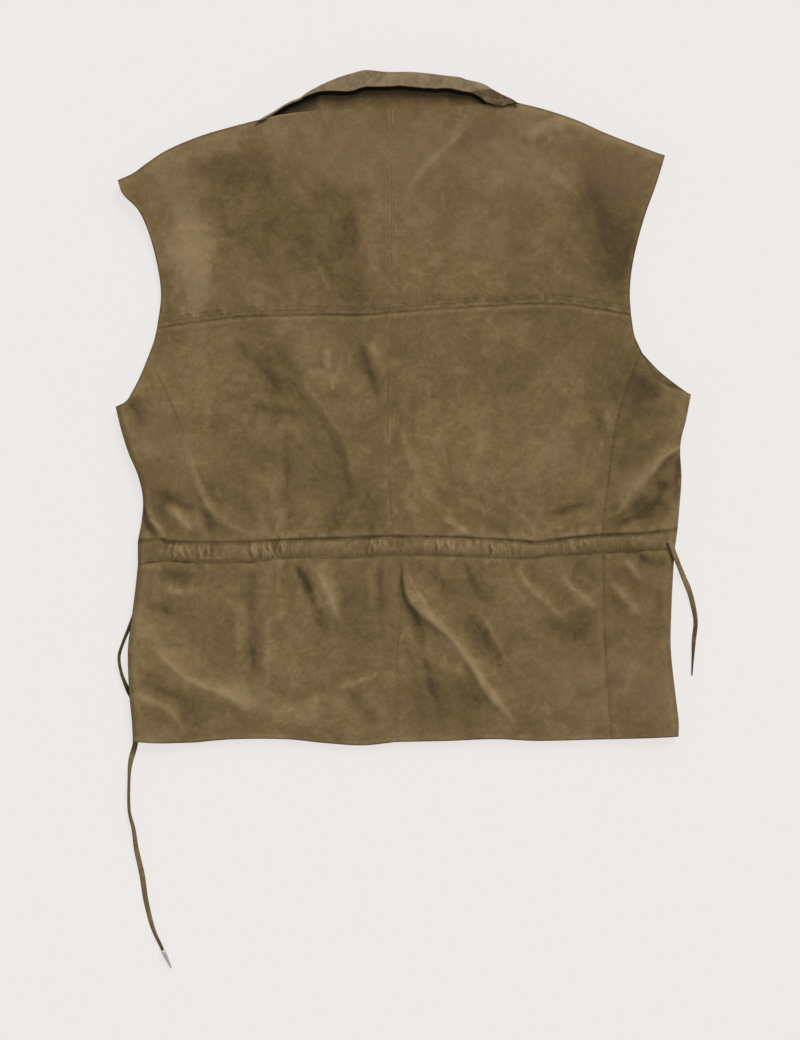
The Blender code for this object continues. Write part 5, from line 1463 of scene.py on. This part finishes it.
def lace_line(route, turns, drop):
    """Centre line of a lace with the angle at which it is turned at each point."""
    line = smooth_curve(route, 12)
    count = int(round(lengths_along(line)[-1] / LACE_STEP)) + 1
    shares = np.linspace(0, 1, count)
    flat = at_fractions(line, shares)
    angle = np.radians(read_table(shares, smooth_curve(turns, 14)))
    rest = 0.5 * np.hypot(LACE_THICK * np.cos(angle), LACE_WIDTH * 1.05 * np.sin(angle))
    return np.column_stack([flat, rest + read_table(shares, drop)]), angle, shares


def add_lace(name, line, angle, shares, width_table, shades, material):
    """A flat lace: a rounded strip that turns about its own line, closed at both ends."""
    tangent = directions(line)
    flat_side = np.cross(tangent, [0.0, 0.0, 1.0])
    flat_side /= np.linalg.norm(flat_side, axis=1)[:, None]
    up = np.cross(flat_side, tangent)
    cosine = np.cos(angle)[:, None]
    sine = np.sin(angle)[:, None]
    wide = flat_side * cosine + up * sine
    thin = up * cosine - flat_side * sine
    around = np.linspace(0, 2 * math.pi, LACE_SIDES, endpoint=False)
    across = np.sign(np.cos(around)) * np.abs(np.cos(around)) ** 0.55
    through = np.sign(np.sin(around)) * np.abs(np.sin(around)) ** 0.75
    share = read_table(shares, width_table)
    wobble = 1.0 + 0.07 * cloud(line[:, 0], line[:, 1], 9.0, 80)
    half_width = 0.5 * LACE_WIDTH * share * wobble
    half_thick = 0.5 * LACE_THICK * np.minimum(1.0, 0.35 + 0.65 * share)
    rings = (line[:, None] + wide[:, None] * (across[None, :, None] * half_width[:, None, None])
             + thin[:, None] * (through[None, :, None] * half_thick[:, None, None]))
    count, sides = rings.shape[:2]
    index = np.arange(count * sides).reshape(count, sides)
    a = index[:-1].ravel()
    b = np.roll(index, -1, axis=1)[:-1].ravel()
    faces = np.column_stack([a, b, b + sides, a + sides]).tolist()
    faces.append(index[0, ::-1].tolist())
    faces.append(index[-1].tolist())
    piece = new_piece(name, rings, faces)
    # the lace's edges are darkened the same way, partly painted shade
    write_mark(piece, "rim", np.tile(np.abs(across) ** 5, count))
    tone = read_table(shares, shades)
    tone = tone + 0.35 * cloud(line[:, 0] * 2.0, line[:, 1] * 2.0, 5.0, 81)
    write_mark(piece, "line", np.repeat(tone, sides))
    piece.data.materials.append(material)
    return piece


def add_tip(material):
    """Pointed metal tip of the left lace: rolled sheet with a thick mouth."""
    top = Vector(TIP_TOP)
    point = Vector(TIP_POINT)
    turn = (point - top).to_track_quat("Z", "X")
    around = np.linspace(0, 2 * math.pi, TIP_SIDES, endpoint=False)
    depth, seam_angle, seam_width = TIP_SEAM
    points = []
    for along, radius in TIP_PROFILE:
        for angle in around:
            seam = 1.0 - depth * bell(angle - seam_angle, seam_width)
            flat = 0.8 if along > 0.1 else 0.86
            ring = Vector((radius * seam * math.cos(angle),
                           radius * seam * flat * math.sin(angle), along))
            points.append(turn @ ring + top)
    rings = len(TIP_PROFILE)
    faces = []
    for ring in range(rings - 1):
        for side in range(TIP_SIDES):
            after = (side + 1) % TIP_SIDES
            faces.append((ring * TIP_SIDES + side, ring * TIP_SIDES + after,
                          (ring + 1) * TIP_SIDES + after, (ring + 1) * TIP_SIDES + side))
    faces.append(tuple(reversed(range(TIP_SIDES))))
    tip = new_piece("lace_tip", points, faces)
    tip.data.validate()
    tip.data.materials.append(material)
    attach(tip, "root")
    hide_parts("drawstring_tip")
    return tip


def add_laces(materials):
    """Both free ends of the drawstring, with the tip on the left one."""
    right, angle, shares = lace_line(LACE_RIGHT, TURNS_RIGHT, LACE_DROP)
    lace = add_lace("lace_right", right, angle, shares, WIDTHS_RIGHT, SHADES_RIGHT,
                    materials["lace"])
    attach(lace, "root")
    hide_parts("drawstring_right")
    left, angle, shares = lace_line(LACE_LEFT, TURNS_LEFT, LACE_RISE)
    lace = add_lace("lace_left", left, angle, shares, WIDTHS_LEFT, SHADES_LEFT,
                    materials["lace"])
    tip = add_tip(materials["tip"])
    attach(lace, "root")
    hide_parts("drawstring_left")


def new_group(name, inputs, outputs):
    """An empty shader group with the given sockets."""
    group = bpy.data.node_groups.new(name, "ShaderNodeTree")
    for label, kind, value in inputs:
        socket = group.interface.new_socket(label, in_out="INPUT", socket_type=kind)
        socket.default_value = value
    for label, kind in outputs:
        group.interface.new_socket(label, in_out="OUTPUT", socket_type=kind)
    entry = group.nodes.new("NodeGroupInput")
    leave = group.nodes.new("NodeGroupOutput")
    return group, entry, leave


def noise(tree, place, scale, detail, roughness=0.55, distortion=0.0):
    """Value of a noise texture at the place."""
    texture = tree.nodes.new("ShaderNodeTexNoise")
    texture.inputs["Scale"].default_value = scale
    texture.inputs["Detail"].default_value = detail
    texture.inputs["Roughness"].default_value = roughness
    texture.inputs["Distortion"].default_value = distortion
    tree.links.new(place, texture.inputs["Vector"])
    return texture.outputs["Fac"]


def maths(tree, operation, first, second, third=None, clamp=False):
    """One arithmetic step; numbers and sockets may both be given."""
    step = tree.nodes.new("ShaderNodeMath")
    step.operation = operation
    step.use_clamp = clamp
    for socket, value in zip(step.inputs, (first, second, third)):
        if value is None:
            continue
        if isinstance(value, (int, float)):
            socket.default_value = value
        else:
            tree.links.new(value, socket)
    return step.outputs["Value"]


def mix(tree, share, first, second):
    """Mix of two colours."""
    step = tree.nodes.new("ShaderNodeMix")
    step.data_type = "RGBA"
    step.clamp_factor = True
    tree.links.new(share, step.inputs["Factor"])
    for socket, value in ((step.inputs["A"], first), (step.inputs["B"], second)):
        if isinstance(value, tuple):
            socket.default_value = (*value, 1.0)
        else:
            tree.links.new(value, socket)
    return step.outputs["Result"]


def attribute(tree, name):
    """A mark that the mesh carries."""
    reader = tree.nodes.new("ShaderNodeAttribute")
    reader.attribute_name = name
    return reader.outputs["Fac"]


def ranged(tree, value, low, high, to_low=0.0, to_high=1.0):
    """The value taken from one range to another, with smooth ends."""
    step = tree.nodes.new("ShaderNodeMapRange")
    step.interpolation_type = "SMOOTHSTEP"
    step.inputs["From Min"].default_value = low
    step.inputs["From Max"].default_value = high
    step.inputs["To Min"].default_value = to_low
    step.inputs["To Max"].default_value = to_high
    tree.links.new(value, step.inputs["Value"])
    return step.outputs["Result"]


def bumped(tree, shader, height, strength, distance):
    """Give a surface its fine relief."""
    relief = tree.nodes.new("ShaderNodeBump")
    relief.inputs["Strength"].default_value = strength
    relief.inputs["Distance"].default_value = distance
    tree.links.new(height, relief.inputs["Height"])
    tree.links.new(relief.outputs["Normal"], shader.inputs["Normal"])


def new_material(name):
    """A material with its tree of nodes, its surface and the place on the object."""
    material = bpy.data.materials.new(name)
    material.use_nodes = True
    tree = material.node_tree
    place = tree.nodes.new("ShaderNodeTexCoord").outputs["Object"]
    return material, tree, tree.nodes["Principled BSDF"], place


def nap_group():
    """Brushed nap of suede: mottled tone, wear, pores and its fine relief, with painted light and
    shade from the marks.
    """
    colour = "NodeSocketColor"
    number = "NodeSocketFloat"
    group, entry, leave = new_group("suede_nap", [
        ("Base", colour, (*SUEDE, 1)), ("Light", colour, (*SUEDE_LIGHT, 1)),
        ("Dark", colour, (*SUEDE_DARK, 1)), ("Red", colour, (*SUEDE_RED, 1)),
        ("Mottle", number, 1.0), ("Crest", number, 0.0), ("Fold", number, 0.0),
        ("Line", number, 0.0), ("WearAndShade", number, 0.0), ("Redness", number, 0.0),
    ], [("Color", colour), ("Height", number)])
    place = group.nodes.new("ShaderNodeTexCoord").outputs["Object"]
    broad = noise(group, place, 11.0, 3.0, 0.6, 0.3)
    hand = noise(group, place, 46.0, 4.0, 0.55, 0.6)
    brushed = noise(group, place, 150.0, 3.0, 0.6, 0.4)
    soft = noise(group, place, 300.0, 3.0, 0.6, 0.3)
    nap = noise(group, place, 620.0, 3.0, 0.6)
    grain = noise(group, place, 1500.0, 2.0, 0.7)
    stain = noise(group, place, 21.0, 4.0, 0.6, 1.2)
    strokes = ranged(group, noise(group, place, 24.0, 4.0, 0.62, 1.6), 0.47, 0.55, -0.5, 0.5)
    flecks = ranged(group, noise(group, place, 70.0, 4.0, 0.65, 1.2), 0.5, 0.6, -0.5, 0.5)
    tone = maths(group, "MULTIPLY_ADD", broad, 0.8, -0.4)
    for part, weight in ((hand, 0.8), (brushed, 0.7), (soft, 0.45), (nap, 0.5),
                         (grain, 0.52)):
        centred = maths(group, "SUBTRACT", part, 0.5)
        tone = maths(group, "MULTIPLY_ADD", centred, weight, tone)
    tone = maths(group, "MULTIPLY_ADD", strokes, 0.18, tone)
    tone = maths(group, "MULTIPLY_ADD", flecks, 0.13, tone)
    tone = maths(group, "MULTIPLY", tone, entry.outputs["Mottle"])
    # The marks paint highlights on crests and shade in hollows, seams and below the collar; the
    # wear-and-shade mark adds wear with painted shading of the folds
    for label, weight in (("Crest", 0.13), ("Fold", 0.12), ("Line", 0.5), ("WearAndShade", 0.34)):
        tone = maths(group, "MULTIPLY_ADD", entry.outputs[label], weight, tone)
    lighter = maths(group, "MULTIPLY", tone, 1.0, clamp=True)
    darker = maths(group, "MULTIPLY", tone, -1.0, clamp=True)
    result = mix(group, lighter, entry.outputs["Base"], entry.outputs["Light"])
    result = mix(group, darker, result, entry.outputs["Dark"])
    # Painted near-black shadow where the line mark is deepest, below the collar's lip
    deep = ranged(group, entry.outputs["Line"], -3.6, -1.5, 0.92, 0.0)
    spread = ranged(group, stain, 0.48, 0.78, 0.0, 0.26)
    red = maths(group, "MULTIPLY_ADD", entry.outputs["Redness"], 0.45, spread, clamp=True)
    result = mix(group, red, result, entry.outputs["Red"])
    result = mix(group, deep, result, DEEP_SHADE)
    height = maths(group, "MULTIPLY_ADD", nap, 0.55, maths(group, "MULTIPLY", grain, 0.6))
    height = maths(group, "MULTIPLY_ADD", brushed, 0.5, height)
    group.links.new(result, leave.inputs["Color"])
    group.links.new(height, leave.inputs["Height"])
    return group


def suede_material(name, nap, base, light=SUEDE_LIGHT, mottle=1.0, bump=0.5,
                   dark=SUEDE_DARK, red=SUEDE_RED):
    """One suede finish made with the shared nap; its cut edges are darker, partly their own colour
    and partly painted shade.
    """
    material, tree, shader, _ = new_material(name)
    shader.inputs["Roughness"].default_value = 0.93
    shader.inputs["Specular IOR Level"].default_value = 0.16
    shader.inputs["Sheen Weight"].default_value = 0.16
    shader.inputs["Sheen Roughness"].default_value = 0.45
    shader.inputs["Sheen Tint"].default_value = (*light, 1.0)
    user = tree.nodes.new("ShaderNodeGroup")
    user.node_tree = nap
    for label, value in (("Base", base), ("Light", light), ("Dark", dark), ("Red", red)):
        user.inputs[label].default_value = (*value, 1.0)
    user.inputs["Mottle"].default_value = mottle
    for mark, label in (("crest", "Crest"), ("fold", "Fold"), ("line", "Line"),
                        ("wear_and_shade", "WearAndShade"), ("red", "Redness")):
        tree.links.new(attribute(tree, mark), user.inputs[label])
    rim = maths(tree, "MULTIPLY", attribute(tree, "rim"), 0.45, clamp=True)
    coloured = mix(tree, rim, user.outputs["Color"], CUT_EDGE_AND_SHADE)
    tree.links.new(coloured, shader.inputs["Base Color"])
    bumped(tree, shader, user.outputs["Height"], bump, NAP_DEPTH)
    return material


def metal_material():
    """Bright plated metal, brushed lengthways and a little scratched."""
    material, tree, shader, place = new_material("tip_metal")
    shader.inputs["Metallic"].default_value = 1.0
    wear = noise(tree, place, 900.0, 3.0)
    scratch = noise(tree, place, 3200.0, 2.0, 0.7, 0.8)
    tone = mix(tree, wear, METAL, shaded(METAL, 0.82))
    tree.links.new(tone, shader.inputs["Base Color"])
    rough = ranged(tree, wear, 0.3, 0.7, 0.22, 0.4)
    tree.links.new(rough, shader.inputs["Roughness"])
    bumped(tree, shader, scratch, 0.12, SCRATCH_DEPTH)
    return material


def shaded(colour, share):
    """The colour, lighter or darker by the share."""
    return tuple(share * value for value in colour)


def make_materials():
    """The finishes of the cloth, the laces, the thread and the tip."""
    nap = nap_group()
    collar_light = shaded(COLLAR_TAN, 1.35)
    return {
        "suede": suede_material("suede_olive", nap, SUEDE),
        "suede_inside": suede_material("suede_fronts", nap, SUEDE),
        "collar": suede_material("suede_collar", nap, COLLAR_TAN, collar_light, 1.5),
        "lace": suede_material("lace_suede", nap, LACE_BROWN, mottle=1.3),
        "thread": suede_material("thread", nap, THREAD, SUEDE, 0.6, 0.3, red=SUEDE_DARK),
        "tip": metal_material(),
    }


def stitch_nodes(thread):
    """Geometry nodes that set one thread stitch on every point."""
    tree = bpy.data.node_groups.new("stitch_row", "GeometryNodeTree")
    sockets = {}
    for label, kind, value in (("Geometry", "NodeSocketGeometry", None),
                               ("Stitch Length", "NodeSocketFloat", STITCH_LENGTH * MM),
                               ("Thread Width", "NodeSocketFloat", THREAD_WIDTH * MM),
                               ("Seed", "NodeSocketInt", SEED)):
        socket = tree.interface.new_socket(label, in_out="INPUT", socket_type=kind)
        if value is not None:
            socket.default_value = value
        sockets[label] = socket.identifier
    tree.interface.new_socket("Geometry", in_out="OUTPUT", socket_type="NodeSocketGeometry")
    entry = tree.nodes.new("NodeGroupInput")
    leave = tree.nodes.new("NodeGroupOutput")
    ball = tree.nodes.new("GeometryNodeMeshIcoSphere")
    ball.inputs["Radius"].default_value = 0.5
    ball.inputs["Subdivisions"].default_value = 2
    turn = tree.nodes.new("GeometryNodeInputNamedAttribute")
    turn.data_type = "FLOAT_VECTOR"
    turn.inputs["Name"].default_value = "turn"
    to_turn = tree.nodes.new("FunctionNodeEulerToRotation")
    chance = tree.nodes.new("FunctionNodeRandomValue")
    chance.data_type = "FLOAT"
    chance.inputs[2].default_value = 0.82
    chance.inputs[3].default_value = 1.12
    long = maths(tree, "MULTIPLY", entry.outputs["Stitch Length"], chance.outputs[1])
    size = tree.nodes.new("ShaderNodeCombineXYZ")
    place = tree.nodes.new("GeometryNodeInstanceOnPoints")
    real = tree.nodes.new("GeometryNodeRealizeInstances")
    finish = tree.nodes.new("GeometryNodeSetMaterial")
    finish.inputs["Material"].default_value = thread
    for start, end in (
            (turn.outputs["Attribute"], to_turn.inputs["Euler"]),
            (entry.outputs["Seed"], chance.inputs["Seed"]),
            (long, size.inputs["X"]),
            (entry.outputs["Thread Width"], size.inputs["Y"]),
            (entry.outputs["Thread Width"], size.inputs["Z"]),
            (entry.outputs["Geometry"], place.inputs["Points"]),
            (ball.outputs["Mesh"], place.inputs["Instance"]),
            (to_turn.outputs["Rotation"], place.inputs["Rotation"]),
            (size.outputs["Vector"], place.inputs["Scale"]),
            (place.outputs["Instances"], real.inputs["Geometry"]),
            (real.outputs["Geometry"], finish.inputs["Geometry"]),
            (finish.outputs["Geometry"], leave.inputs["Geometry"])):
        tree.links.new(start, end)
    return tree, sockets


def stitch_places(line, offset):
    """Points and directions of the stitches beside a line, on the cloth's upper face."""
    dense = at_fractions(line, np.linspace(0.004, 0.996, 400))
    tangent = directions(dense)
    beside_line = dense + offset * np.column_stack([-tangent[:, 1], tangent[:, 0]])
    count = int(lengths_along(beside_line)[-1] / STITCH_PITCH)
    flat = at_fractions(beside_line, (np.arange(count) + 0.5) / count)
    x = flat[:, 0]
    y = flat[:, 1] + 0.25 * cloud(flat[:, 0], flat[:, 1], 11.0, 90)
    height = back_top(x, y) - STITCH_SINK
    points = np.column_stack([x, y, height])
    run = np.gradient(points, axis=0)
    heading = np.arctan2(run[:, 1], run[:, 0])
    pitch_up = -np.arctan2(run[:, 2], np.hypot(run[:, 0], run[:, 1]))
    turn = np.column_stack([np.zeros(count), pitch_up, heading + 0.06])
    return points, turn


def add_stitches(name, rows, tree, sockets, seed):
    """Rows of topstitching as one mesh."""
    points = np.vstack([row[0] for row in rows])
    turns = np.vstack([row[1] for row in rows])
    mesh = bpy.data.meshes.new(name)
    mesh.from_pydata((points * MM).tolist(), [], [])
    layer = mesh.attributes.new("turn", "FLOAT_VECTOR", "POINT")
    layer.data.foreach_set("vector", turns.ravel().astype(np.float32))
    seeds = bpy.data.objects.new(name, mesh)
    bpy.context.scene.collection.objects.link(seeds)
    sewing = seeds.modifiers.new("sewing", "NODES")
    sewing.node_group = tree
    sewing[sockets["Stitch Length"]] = STITCH_LENGTH * MM
    sewing[sockets["Thread Width"]] = THREAD_WIDTH * MM
    sewing[sockets["Seed"]] = seed
    bpy.context.view_layer.update()
    graph = bpy.context.evaluated_depsgraph_get()
    real = bpy.data.meshes.new_from_object(seeds.evaluated_get(graph), depsgraph=graph)
    seeds.modifiers.clear()
    seeds.data = real
    bpy.data.meshes.remove(mesh)
    real.shade_smooth()
    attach(seeds, "root")
    return seeds


def sew(materials):
    """Topstitching beside the yoke seam and the centre-back seam."""
    tree, sockets = stitch_nodes(materials["thread"])
    yoke = joined(*YOKE_SEAM)
    centre = CURVES["centre_yoke"]
    rows = [stitch_places(yoke, offset) for offset in YOKE_ROWS]
    rows += [stitch_places(centre, offset) for offset in (CENTRE_ROW, -CENTRE_ROW)]
    add_stitches("yoke_stitches", rows, tree, sockets, 3)


def add_floor():
    """Plain pale floor, as wide as the picture needs."""
    half = FLOOR_HALF
    corners = [(-half, -half, 0), (half, -half, 0), (half, half, 0), (-half, half, 0)]
    floor = new_piece("floor", corners, [(0, 1, 2, 3)])
    material, tree, shader, place = new_material("pale_floor")
    shader.inputs["Roughness"].default_value = 0.9
    shader.inputs["Specular IOR Level"].default_value = 0.1
    paper = noise(tree, place, 900.0, 2.0)
    tone = mix(tree, paper, shaded(FLOOR, FLOOR_SHADE),
               shaded(FLOOR, FLOOR_SHADE * PAPER_GRAIN))
    tree.links.new(tone, shader.inputs["Base Color"])
    tree.links.new(tone, shader.inputs["Emission Color"])
    shader.inputs["Emission Strength"].default_value = FLOOR_GLOW
    floor.data.materials.append(material)


def add_light():
    """A soft main light from beyond the collar and even light from all round."""
    lamp = bpy.data.lights.new("main_light", "SUN")
    lamp.energy = LIGHT_STRENGTH
    lamp.angle = math.radians(LIGHT_SOFTNESS)
    lamp.color = LIGHT_COLOUR
    holder = bpy.data.objects.new("main_light", lamp)
    flat = Vector((*LIGHT_FROM, 0.0)).normalized()
    rise = math.radians(LIGHT_ELEVATION)
    source = flat * math.cos(rise) + Vector((0.0, 0.0, math.sin(rise)))
    holder.rotation_euler = source.to_track_quat("Z", "Y").to_euler()
    bpy.context.scene.collection.objects.link(holder)
    world = bpy.data.worlds.new("studio_air")
    world.use_nodes = True
    air = world.node_tree.nodes["Background"]
    air.inputs["Color"].default_value = (1.0, 1.0, 1.0, 1.0)
    air.inputs["Strength"].default_value = AIR_STRENGTH
    bpy.context.scene.world = world
    bpy.context.scene.view_settings.view_transform = "Standard"
    bpy.context.scene.view_settings.look = "None"


def main():
    """Build the gilet piece by piece, then its stage."""
    add_camera()
    materials = make_materials()
    add_laces(materials)
    add_back(materials)
    add_channel(materials)
    for hand in ("left", "right"):
        add_front(hand, materials)
        add_collar_front(hand, materials)
    add_collar_stand(materials)
    add_collar_fall(materials)
    sew(materials)
    add_floor()
    add_light()


main()
